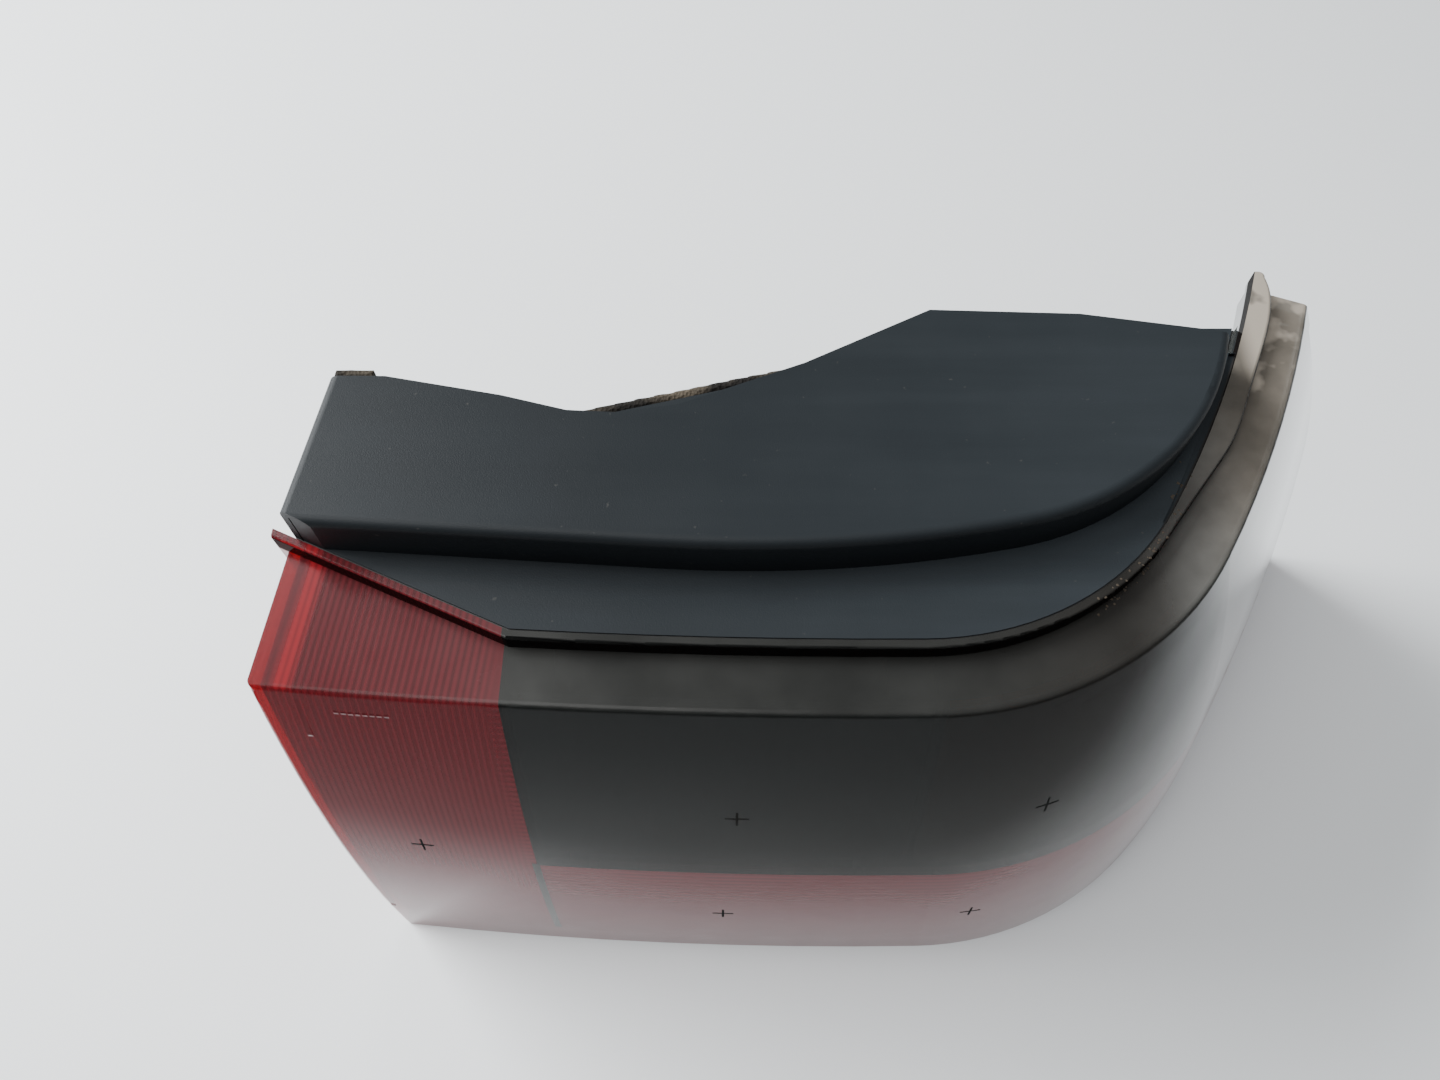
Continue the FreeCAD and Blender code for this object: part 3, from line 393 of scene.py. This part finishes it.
def bulb_glass_material():
    """Thin clear glass."""
    made, tree = start_material("bulb_glass")
    haze_and_sheen = speckle(tree, 150.0, 4.0)
    clear = node(tree, "ShaderNodeBsdfTransparent", {"Color": rgb(0.97, 0.98, 0.98)}).outputs[0]
    gloss = node(tree, "ShaderNodeBsdfGlossy",
                 {"Roughness": add_scaled(tree, haze_and_sheen, 0.06, 0.01)}).outputs[0]
    surface = node(tree, "ShaderNodeMixShader", {0: edge_mirror(tree, 0.06), 1: clear, 2: gloss})
    return finish_material(made, surface.outputs[0])


def floor_material():
    """Plain pale floor."""
    made, tree = start_material("floor_paint")
    cloud = speckle(tree, 3.0, 2.0)
    tint = mix_colour(tree, cloud, rgb(0.87, 0.89, 0.90), rgb(0.91, 0.93, 0.94))
    return finish_material(made, principled(tree, Base_Color=tint, Roughness=0.45,
                                            Specular_IOR_Level=0.3))


def make_materials():
    """Every material by its slot name."""
    return {
        "red_lens": lens_plastic("red_lens", rgb(0.18, 0.013, 0.019), rgb(0.34, 0.24, 0.24),
                                 rgb(0.75, 0.03, 0.04), 0.40, painted_red_shading=True),
        "smoked_lens": lens_plastic("smoked_lens", rgb(0.014, 0.015, 0.014),
                                    rgb(0.36, 0.355, 0.335), rgb(0.42, 0.43, 0.42), 0.55,
                                    rgb(0.021, 0.018, 0.015)),
        "amber_filter": lens_plastic("amber_filter", rgb(0.75, 0.22, 0.02),
                                     rgb(0.4, 0.3, 0.2), rgb(1.0, 0.55, 0.10), 0.6),
        "clear_optic": lens_plastic("clear_optic", rgb(0.55, 0.57, 0.57), rgb(0.4, 0.4, 0.4),
                                    rgb(0.95, 0.97, 0.97), 0.75),
        "black_housing": black_plastic(),
        "adhesive": moulded("adhesive", rgb(0.012, 0.012, 0.012), rgb(0.05, 0.045, 0.04), 0.6),
        "grey_plastic": moulded("grey_plastic", rgb(0.30, 0.31, 0.32), rgb(0.18, 0.17, 0.15)),
        "carrier_plastic": moulded("carrier_plastic", rgb(0.33, 0.33, 0.315),
                                   rgb(0.20, 0.18, 0.15)),
        "latch_plastic": moulded("latch_plastic", rgb(0.29, 0.29, 0.275), rgb(0.18, 0.16, 0.13)),
        "connector_plastic": moulded("connector_plastic", rgb(0.02, 0.02, 0.022),
                                     rgb(0.07, 0.065, 0.055)),
        "vent_rubber": moulded("vent_rubber", rgb(0.014, 0.014, 0.014), rgb(0.06, 0.055, 0.05),
                               0.7),
        "foam": foam_material(),
        "plated_steel": bright_metal("plated_steel", rgb(0.62, 0.62, 0.60),
                                     0.22, rgb(0.40, 0.38, 0.33)),
        "stud_steel": bright_metal("stud_steel", rgb(0.58, 0.57, 0.52), 0.25,
                                   rgb(0.35, 0.27, 0.18), 0.45),
        "brass_track": bright_metal("brass_track", rgb(0.70, 0.50, 0.20), 0.25,
                                    rgb(0.30, 0.20, 0.10), 0.5),
        "spring_bronze": bright_metal("spring_bronze", rgb(0.62, 0.36, 0.17), 0.22,
                                      rgb(0.28, 0.16, 0.09), 0.4),
        "terminal_tin": bright_metal("terminal_tin", rgb(0.68, 0.67, 0.62), 0.22,
                                     rgb(0.45, 0.42, 0.36)),
        "bright_reflector": bright_metal("bright_reflector", rgb(0.80, 0.81, 0.82), 0.04,
                                         rgb(0.62, 0.60, 0.54), 0.35),
        "bulb_brass": bright_metal("bulb_brass", rgb(0.66, 0.55, 0.33), 0.2,
                                   rgb(0.40, 0.30, 0.18), 0.4),
        "bulb_glass": bulb_glass_material(),
        "filament": bright_metal("filament", rgb(0.30, 0.30, 0.31), 0.35, rgb(0.2, 0.2, 0.22)),
        "glass_black": moulded("glass_black", rgb(0.008, 0.008, 0.009), rgb(0.02, 0.02, 0.02),
                               0.1),
        "solder": bright_metal("solder", rgb(0.50, 0.50, 0.50), 0.3, rgb(0.3, 0.3, 0.3)),
        "lens_mark": moulded("lens_mark", rgb(0.008, 0.008, 0.008), rgb(0.03, 0.025, 0.02), 0.7,
                             0.35, 0.05),
        "dirt": moulded("dirt", rgb(0.055, 0.042, 0.03), rgb(0.12, 0.10, 0.08), 0.9),
    }


def paint(piece, material):
    """Gives a piece one material."""
    piece.data.materials.clear()
    piece.data.materials.append(material)


# ---- mesh helpers ----------------------------------------------------------------------


def new_piece(name, mesh, body, slot):
    """Puts a bmesh into the scene as a piece that rides on a body."""
    bmesh.ops.recalc_face_normals(mesh, faces=mesh.faces)
    data = bpy.data.meshes.new(name)
    mesh.to_mesh(data)
    mesh.free()
    piece = bpy.data.objects.new(name, data)
    bpy.context.scene.collection.objects.link(piece)
    paint(piece, MATERIALS[slot])
    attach(piece, body)
    return piece


def smooth(piece, angle=35.0):
    """Smooth shading, with edges sharper than the angle kept crisp."""
    limit = math.radians(angle)
    for polygon in piece.data.polygons:
        polygon.use_smooth = True
    mesh = bmesh.new()
    mesh.from_mesh(piece.data)
    for edge in mesh.edges:
        edge.smooth = len(edge.link_faces) == 2 and edge.calc_face_angle(0.0) < limit
    mesh.to_mesh(piece.data)
    mesh.free()


def centre_of(name):
    """Middle of a CAD node's box."""
    low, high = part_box(name)
    return (low + high) / 2


def surface_tree(*names):
    """Tree for finding where a ray meets these CAD nodes."""
    points, faces = [], []
    for name in names:
        data = frame["nodes"][name].data
        first = len(points)
        points += [vertex.co.copy() for vertex in data.vertices]
        faces += [[first + index for index in polygon.vertices] for polygon in data.polygons]
    return BVHTree.FromPolygons(points, faces)


def bead(mesh, path, inward, width, height):
    """Closed half-round rib along a path on a surface; inward points away from the surface."""
    profile = ((-0.5, -0.3), (-0.42, 0.45), (-0.2, 0.88), (0.0, 1.0), (0.2, 0.88), (0.42, 0.45),
               (0.5, -0.3))
    rings = []
    for index, point in enumerate(path):
        ahead = path[min(index + 1, len(path) - 1)] - path[max(index - 1, 0)]
        side = ahead.normalized().cross(inward[index]).normalized()
        ring = []
        for across, up in profile:
            spot = point + side * across * width + inward[index] * up * height
            ring.append(mesh.verts.new(spot))
        rings.append(ring)
    for first, last in zip(rings, rings[1:]):
        for index in range(len(profile)):
            other = (index + 1) % len(profile)
            mesh.faces.new((first[index], first[other], last[other], last[index]))
    mesh.faces.new(rings[0][::-1])
    mesh.faces.new(rings[-1])


def lathe(mesh, centre, profile, sides=40):
    """Closed body turned about an axis along Y; profile is (y, radius) from end to end."""
    rings = []
    for y, radius in profile:
        ring = []
        for step in range(sides):
            turn = 2 * math.pi * step / sides
            ring.append(mesh.verts.new((centre.x + radius * math.cos(turn), y,
                                        centre.z + radius * math.sin(turn))))
        rings.append(ring)
    for first, last in zip(rings, rings[1:]):
        for index in range(sides):
            other = (index + 1) % sides
            mesh.faces.new((first[index], first[other], last[other], last[index]))
    mesh.faces.new(rings[0][::-1])
    mesh.faces.new(rings[-1])


# ---- lens ------------------------------------------------------------------------------


def face_hit(tree, x, z, start_y=CAVITY_Y):
    """Where the inside of the lens's face is, straight in front of a point in the cavity."""
    return tree.ray_cast(Vector((x, start_y, z)), Vector((0, -1, 0)))


def corner_hit(tree, turn, z):
    """Where the inside of the lens is, seen from the centre of its corner."""
    way = Vector((math.sin(turn), -math.cos(turn), 0))
    start = Vector((CORNER_CENTRE[0], CORNER_CENTRE[1], z)) + way * CORNER_START_RADIUS
    return tree.ray_cast(start, way)


def toward(normal, way):
    """The normal, turned to point the given way."""
    return normal if normal.dot(way) > 0 else -normal


def clear_of_end(tree, spot, middle_x):
    """Whether a spot inside the lens lies clear of the wall at the inner end."""
    start = Vector((middle_x, spot.y + 1.5 * MM, spot.z))
    wall, normal, index, distance = tree.ray_cast(start, Vector((-1, 0, 0)))
    return wall is not None and spot.x > wall.x + 1.2 * MM


def make_red_flutes(tree):
    """Upright flutes inside the red inner end, which bend and run on under the lens's top."""
    mesh = bmesh.new()
    low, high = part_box("lens_red")
    seam_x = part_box("lens_smoke")[0].x
    top_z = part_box("turn_filter")[1].z
    foot = low.z + 4.0 * MM
    shoulder = top_z - 5.0 * MM
    middle_x = low.x + 20 * MM
    x = seam_x - FLUTE_PITCH
    while x > low.x + 4 * MM:
        path, inward = [], []
        for step in range(15):
            z = foot + (shoulder - foot) * step / 14
            spot, normal, index, distance = face_hit(tree, x, z)
            if spot is not None and abs(normal.y) > 0.5 and clear_of_end(tree, spot, middle_x):
                path.append(spot)
                inward.append(toward(normal, Vector((0, 1, 0))))
        y = path[-1].y + 4.5 * MM if path else high.y
        while y < high.y:
            start = Vector((x, y, top_z - 6 * MM))
            spot, normal, index, distance = tree.ray_cast(start, Vector((0, 0, 1)))
            if spot is None or spot.z > top_z + 1.0 * MM:
                break
            if not clear_of_end(tree, spot - Vector((0, 0, MM)), middle_x):
                break
            path.append(spot)
            inward.append(Vector((0, 0, -1)))
            y += 3 * MM
        if len(path) > 3:
            bead(mesh, path[:-1], inward[:-1], FLUTE_PITCH * 0.75, 0.7 * MM)
        x -= FLUTE_PITCH
    return new_piece("red_flutes", mesh, LAMP, "red_lens")


def band_path(tree, z, first_x, turns):
    """Points and inward directions round the inside of a curved sheet at a height."""
    path, inward = [], []
    x = first_x
    while x < CORNER_CENTRE[0]:
        spot, normal, index, distance = face_hit(tree, x, z)
        if spot is not None:
            path.append(spot)
            inward.append(toward(normal, Vector((0, 1, 0))))
        x += 8 * MM
    turn = math.radians(1.0)
    while turn < math.radians(turns):
        spot, normal, index, distance = corner_hit(tree, turn, z)
        if spot is not None:
            path.append(spot)
            inward.append(toward(normal, Vector((-math.sin(turn), math.cos(turn), 0))))
        turn += math.radians(3.0)
    return path, inward


def make_red_ribs(tree):
    """Level ribs inside the lower red field, round the corner."""
    mesh = bmesh.new()
    smoke_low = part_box("lens_smoke")[0]
    first_x = smoke_low.x + 4 * MM
    z = 5 * MM
    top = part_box("reverse_optic")[0].z - 4 * MM
    while z < top:
        path, inward = band_path(tree, z, first_x, 76.0)
        bead(mesh, path, inward, RIB_PITCH * 0.8, 0.8 * MM)
        z += RIB_PITCH
    return new_piece("red_ribs", mesh, LAMP, "red_lens")


def make_filter_ribs():
    """Level ribs on the inside of the amber filter."""
    mesh = bmesh.new()
    tree = surface_tree("turn_filter")
    low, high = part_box("turn_filter")
    z = low.z + 3 * MM
    while z < high.z - 2 * MM:
        path, inward = [], []
        for step in range(26):
            turn = math.radians(3.0 + 2.9 * step)
            spot, normal, index, distance = corner_hit(tree, turn, z)
            if spot is not None:
                path.append(spot)
                inward.append(toward(normal, Vector((-math.sin(turn), math.cos(turn), 0))))
        if len(path) > 2:
            bead(mesh, path, inward, 2.2 * MM, 0.8 * MM)
        z += 3 * MM
    return new_piece("filter_ribs", mesh, LAMP, "amber_filter")


def make_optic_flutes():
    """Upright flutes on the inside of the clear optic."""
    mesh = bmesh.new()
    tree = surface_tree("reverse_optic")
    low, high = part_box("reverse_optic")
    x = low.x + 2.5 * MM
    while x < high.x - 2 * MM:
        path, inward = [], []
        for step in range(9):
            z = low.z + 1.5 * MM + (high.z - low.z - 3 * MM) * step / 8
            spot, normal, index, distance = face_hit(tree, x, z)
            if spot is not None:
                path.append(spot)
                inward.append(toward(normal, Vector((0, 1, 0))))
        if len(path) > 2:
            bead(mesh, path, inward, 2.2 * MM, 0.8 * MM)
        x += 3 * MM
    return new_piece("optic_flutes", mesh, LAMP, "clear_optic")


def make_cross_marks(tree):
    """Small raised crosses on the lens over the middle of each lamp function."""
    mesh = bmesh.new()
    reach = 3.6 * MM
    for name in BULBS:
        middle = centre_of(name + "_bulb_base")
        for dx, dz in ((1, 0), (0, 1)):
            path, outward = [], []
            for step in range(-4, 5):
                x = middle.x + dx * reach * step / 4
                z = middle.z + dz * reach * step / 4
                start = Vector((x, cad_box[0][1] - 0.02, z))
                spot, normal, index, distance = tree.ray_cast(start, Vector((0, 1, 0)))
                path.append(spot)
                outward.append(toward(normal, Vector((0, -1, 0))))
            bead(mesh, path, outward, 0.8 * MM, 0.12 * MM)
    return new_piece("cross_marks", mesh, LAMP, "lens_mark")


# ---- small parts -----------------------------------------------------------------------


def soften(piece, body, slot, cell, dent):
    """Rounds a piece's edges and gives it the uneven skin of foam."""
    remesh = piece.modifiers.new("cells", "REMESH")
    remesh.mode = "VOXEL"
    remesh.voxel_size = cell
    evaluated = piece.evaluated_get(bpy.context.evaluated_depsgraph_get())
    made = bpy.data.meshes.new_from_object(evaluated)
    piece.modifiers.clear()
    piece.data = made
    made.name = piece.name
    moved = []
    for vertex in made.vertices:
        rough = noise.noise(vertex.co * 160.0) + 0.6 * noise.noise(vertex.co * 520.0)
        moved.append(vertex.co - vertex.normal * dent * (0.6 + 0.5 * rough))
    for vertex, spot in zip(made.vertices, moved):
        vertex.co = spot
    for polygon in made.polygons:
        polygon.use_smooth = True
    paint(piece, MATERIALS[slot])
    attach(piece, body)


def soft_copy(name, source, body, cell, dent):
    """Foam piece with the shape of a CAD node, softened edges and an uneven skin."""
    piece = bpy.data.objects.new(name, frame["nodes"][source].data.copy())
    bpy.context.scene.collection.objects.link(piece)
    soften(piece, body, "foam", cell, dent)
    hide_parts(source)


def make_corner_foam():
    """Scrap of foam that stands up behind the roof's left corner."""
    mesh = bmesh.new()
    roof_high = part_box("housing")[1]
    gasket_low, gasket_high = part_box("body_gasket")
    low = Vector((gasket_low.x + 6.5 * MM, gasket_low.y - 0.2 * MM, gasket_high.z + 0.5 * MM))
    high = Vector((gasket_low.x + 18.5 * MM, gasket_low.y + 2.8 * MM, roof_high.z - 1.5 * MM))
    block = bmesh.ops.create_cube(mesh, size=1.0)["verts"]
    bmesh.ops.scale(mesh, verts=block, vec=high - low)
    bmesh.ops.translate(mesh, verts=block, vec=(low + high) / 2)
    data = bpy.data.meshes.new("corner_foam")
    mesh.to_mesh(data)
    mesh.free()
    piece = bpy.data.objects.new("corner_foam", data)
    bpy.context.scene.collection.objects.link(piece)
    soften(piece, LAMP, "foam", 0.7 * MM, 0.3 * MM)


def make_vent_cap():
    """Rubber cap over the vent, with a rolled lip and a domed end."""
    mesh = bmesh.new()
    low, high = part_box("vent_cap")
    middle = (low + high) / 2
    radius = (high.x - low.x) / 2
    length = high.y - low.y
    outer = ((0.0, 0.93), (0.06, 1.0), (0.16, 1.0), (0.22, 0.90), (0.30, 0.86), (0.80, 0.84),
             (0.92, 0.76), (0.98, 0.60), (1.0, 0.30))
    inner = ((0.72, 0.30), (0.74, 0.66), (0.04, 0.68))
    profile = [(low.y + length * share, radius * size) for share, size in outer + inner]
    ring_count = 48
    rings = []
    for y, size in profile:
        ring = []
        for step in range(ring_count):
            turn = 2 * math.pi * step / ring_count
            ring.append(mesh.verts.new((middle.x + size * math.cos(turn), y,
                                        middle.z + size * math.sin(turn))))
        rings.append(ring)
    end_cap, floor_cap = rings[len(outer) - 1], rings[len(outer)]
    for first, last in zip(rings, rings[1:] + rings[:1]):
        if first is end_cap and last is floor_cap:
            continue
        for index in range(ring_count):
            other = (index + 1) % ring_count
            mesh.faces.new((first[index], first[other], last[other], last[index]))
    mesh.faces.new(end_cap)
    mesh.faces.new(floor_cap[::-1])
    piece = new_piece("vent_cap_rubber", mesh, LAMP, "vent_rubber")
    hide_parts("vent_cap")
    smooth(piece, 50.0)
    return piece


def threaded_shank(mesh, centre, y, radius, pitch):
    """Closed screw thread along Y between two y values."""
    root = 0.84
    sides = 32
    steps = int((y[1] - y[0]) / pitch * 8)
    rings = []
    for step in range(steps + 1):
        share = step / steps
        spot = y[0] + (y[1] - y[0]) * share
        fade = min(1.0, (1 - share) * steps / 8, share * steps / 8)
        ring = []
        for side in range(sides):
            turn = 2 * math.pi * side / sides
            phase = (spot / pitch - side / sides) % 1.0
            crest = 1 - abs(2 * phase - 1)
            depth = (1 - root) * (1 - min(1.0, max(0.0, crest * 1.5 - 0.25)))
            size = radius * (1 - depth) * (0.86 + 0.14 * fade)
            ring.append(mesh.verts.new((centre.x + size * math.cos(turn), spot,
                                        centre.z + size * math.sin(turn))))
        rings.append(ring)
    for first, last in zip(rings, rings[1:]):
        for index in range(sides):
            other = (index + 1) % sides
            mesh.faces.new((first[index], first[other], last[other], last[index]))
    mesh.faces.new(rings[0][::-1])
    mesh.faces.new(rings[-1])


def stud_mounts():
    """The record's stud mounts."""
    return [mount for mount in frame["record"]["mounts"] if mount["kind"] == "pin"]


def make_studs():
    """Threaded studs with square heads."""
    mesh = bmesh.new()
    pitch = 1.0 * MM
    head_half = 4.5 * MM
    for mount in stud_mounts():
        middle = Vector(mount["pos_m"])
        radius = mount["dims"]["r_mm"] * MM
        half = mount["dims"]["length_mm"] * MM / 2
        threaded_shank(mesh, middle, (middle.y - half - 0.5 * MM, middle.y + half), radius, pitch)
        lathe(mesh, middle, [(middle.y - half - 4.8 * MM, 3.6 * MM),
                             (middle.y - half - 0.3 * MM, 3.6 * MM),
                             (middle.y - half, 3.3 * MM)])
        head = bmesh.ops.create_cube(mesh, size=1.0)["verts"]
        bmesh.ops.scale(mesh, verts=head, vec=(2 * head_half, 4 * MM, 2 * head_half))
        bmesh.ops.translate(mesh, verts=head, vec=middle - Vector((0, half + 6.5 * MM, 0)))
        edges = list({edge for vertex in head for edge in vertex.link_edges})
        bmesh.ops.bevel(mesh, geom=edges, offset=0.5 * MM, segments=2, affect="EDGES")
    piece = new_piece("stud_threads", mesh, LAMP, "stud_steel")
    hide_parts("mounting_studs")
    smooth(piece, 50.0)
    return piece


def tube(mesh, path, radius, sides=8):
    """Closed round wire along a path."""
    rings = []
    up = Vector((0, 0, 1))
    for index, point in enumerate(path):
        ahead = (path[min(index + 1, len(path) - 1)] - path[max(index - 1, 0)]).normalized()
        side = ahead.cross(up)
        if side.length < 0.1:
            side = ahead.cross(Vector((1, 0, 0)))
        side.normalize()
        over = side.cross(ahead).normalized()
        up = over
        ring = []
        for step in range(sides):
            turn = 2 * math.pi * step / sides
            ring.append(mesh.verts.new(point + (side * math.cos(turn) + over * math.sin(turn))
                                       * radius))
        rings.append(ring)
    for first, last in zip(rings, rings[1:]):
        for index in range(sides):
            other = (index + 1) % sides
            mesh.faces.new((first[index], first[other], last[other], last[index]))
    mesh.faces.new(rings[0][::-1])
    mesh.faces.new(rings[-1])


def make_filament(name):
    """Coiled filament between its two lead wires; the glass bead where they meet is not built."""
    mesh = bmesh.new()
    low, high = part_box(name + "_bulb_filament")
    middle = (low + high) / 2
    half = (high.x - low.x) / 2 - 0.5 * MM
    turns, per_turn = 11, 10
    coil_radius = 0.5 * MM
    coil_y = low.y + 0.7 * MM
    path = []
    for step in range(turns * per_turn + 1):
        turn = 2 * math.pi * step / per_turn
        x = middle.x - half + 2 * half * step / (turns * per_turn)
        path.append(Vector((x, coil_y + coil_radius * math.sin(turn),
                            middle.z + coil_radius * math.cos(turn))))
    tube(mesh, path, 0.13 * MM, 6)
    for sign in (-1, 1):
        x = middle.x + sign * half
        lead = [Vector((x, coil_y - 0.4 * MM, middle.z)),
                Vector((x, coil_y + 3 * MM, middle.z)),
                Vector((middle.x + sign * half * 0.75, coil_y + 8 * MM, middle.z)),
                Vector((middle.x + sign * half * 0.7, high.y, middle.z))]
        tube(mesh, lead, 0.28 * MM, 8)
    piece = new_piece(name + "_filament_coil", mesh, name + "_bulb", "filament")
    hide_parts(name + "_bulb_filament")
    smooth(piece, 60.0)
    return piece


def make_bulb_details(name):
    """Black glass end and solder contact at the bulb's base; the glass bead that holds the leads is
    not built.
    """
    low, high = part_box(name + "_bulb_base")
    middle = (low + high) / 2
    contact = high.y
    end = contact - 2 * MM
    mesh = bmesh.new()
    lathe(mesh, middle, [(end - 0.1 * MM, 6.4 * MM), (end + 0.3 * MM, 6.2 * MM),
                         (end + 1.3 * MM, 3.9 * MM), (end + 1.4 * MM, 3.3 * MM)])
    glass = new_piece(name + "_bulb_insulator", mesh, name + "_bulb", "glass_black")
    mesh = bmesh.new()
    lathe(mesh, middle, [(end + 1.2 * MM, 3.15 * MM), (contact - 0.5 * MM, 3.1 * MM),
                         (contact - 0.15 * MM, 2.6 * MM), (contact, 1.6 * MM),
                         (contact + 0.04 * MM, 0.5 * MM)])
    solder = new_piece(name + "_bulb_solder", mesh, name + "_bulb", "solder")
    for piece in (glass, solder):
        smooth(piece, 40.0)


def make_groove_dirt(tree):
    """Grit that has gathered in the groove along the seam, round the corner."""
    mesh = bmesh.new()
    draw = random.Random(7)
    grains = 0
    while grains < 60:
        turn = math.radians(draw.uniform(35.0, 75.0))
        reach = SEAM_RADIUS - draw.uniform(1.5, 5.5) * MM
        x = SEAM_CENTRE[0] + reach * math.sin(turn)
        y = SEAM_CENTRE[1] - reach * math.cos(turn)
        spot, normal, index, distance = tree.ray_cast(Vector((x, y, 0.25)), Vector((0, 0, -1)))
        grains += 1
        if spot is None or normal.z < 0.6:
            continue
        size = draw.uniform(0.2, 0.5) * MM
        made = bmesh.ops.create_icosphere(mesh, subdivisions=1, radius=size)["verts"]
        for vertex in made:
            vertex.co.x *= draw.uniform(0.7, 1.5)
            vertex.co.y *= draw.uniform(0.7, 1.5)
            vertex.co.z *= 0.45
        turned = Matrix.Rotation(draw.uniform(0, math.pi), 4, "Z")
        bmesh.ops.transform(mesh, matrix=Matrix.Translation(spot) @ turned, verts=made)
    return new_piece("seam_grit", mesh, LAMP, "dirt")


# ---- scene -----------------------------------------------------------------------------


def make_floor():
    """Large pale floor under the lamp."""
    mesh = bmesh.new()
    half = 4.0
    corners = [mesh.verts.new((x, y, 0.0)) for x, y in
               ((-half, -half), (half, -half), (half, half), (-half, half))]
    mesh.faces.new(corners)
    data = bpy.data.meshes.new("floor")
    mesh.to_mesh(data)
    mesh.free()
    floor = bpy.data.objects.new("floor", data)
    bpy.context.scene.collection.objects.link(floor)
    floor.data.materials.append(floor_material())


def area_light(name, spot, aim, size, power, colour):
    """Soft rectangular light that looks at a point."""
    lamp = bpy.data.lights.new(name, "AREA")
    lamp.shape = "RECTANGLE"
    lamp.size, lamp.size_y = size
    lamp.energy = power
    lamp.color = colour
    made = bpy.data.objects.new(name, lamp)
    made.location = spot
    made.rotation_mode = "QUATERNION"
    made.rotation_quaternion = (Vector(aim) - Vector(spot)).to_track_quat("-Z", "Y")
    bpy.context.scene.collection.objects.link(made)


def make_lights():
    """Soft studio light: one large panel on the left, a weaker one in front overhead."""
    area_light("panel_left", (-1.5, 0.75, 1.15), (-0.1, 0.0, 0.0), (1.2, 1.5), 100.0,
               (0.97, 0.99, 1.0))
    area_light("panel_top", (-0.47, -0.22, 1.45), (-0.47, -0.22, 0.0), (0.85, 0.95), 12.0,
               (1.0, 0.995, 0.985))
    world = bpy.data.worlds.new("studio")
    bpy.context.scene.world = world
    world.use_nodes = True
    back = world.node_tree.nodes["Background"]
    back.inputs["Color"].default_value = rgb(0.92, 0.96, 1.0)
    back.inputs["Strength"].default_value = 0.39


def make_camera():
    """Camera at the photograph's angle."""
    data = bpy.data.cameras.new("camera")
    data.sensor_width = 36.0
    data.lens = CAMERA_LENS
    data.clip_start = 0.01
    camera = bpy.data.objects.new("camera", data)
    camera.location = CAMERA_AT
    camera.rotation_euler = (math.radians(CAMERA_TILT), 0.0, 0.0)
    bpy.context.scene.collection.objects.link(camera)
    bpy.context.scene.camera = camera


MATERIALS = make_materials()
for part in frame["record"]["subparts"]:
    paint(frame["nodes"][part["node"]], MATERIALS[part["material_slot"]])

lens_tree = surface_tree("lens_red", "lens_smoke")
make_red_flutes(lens_tree)
make_red_ribs(lens_tree)
make_filter_ribs()
make_optic_flutes()
make_cross_marks(lens_tree)
soft_copy("gasket_foam", "body_gasket", LAMP, 1.6 * MM, 0.35 * MM)
soft_copy("carrier_foam", "carrier_seal", CARRIER, 0.5 * MM, 0.08 * MM)
make_corner_foam()
make_vent_cap()
make_studs()
for bulb in BULBS:
    make_filament(bulb)
    make_bulb_details(bulb)
make_groove_dirt(surface_tree("housing", "lens_smoke"))

make_floor()
make_lights()
make_camera()
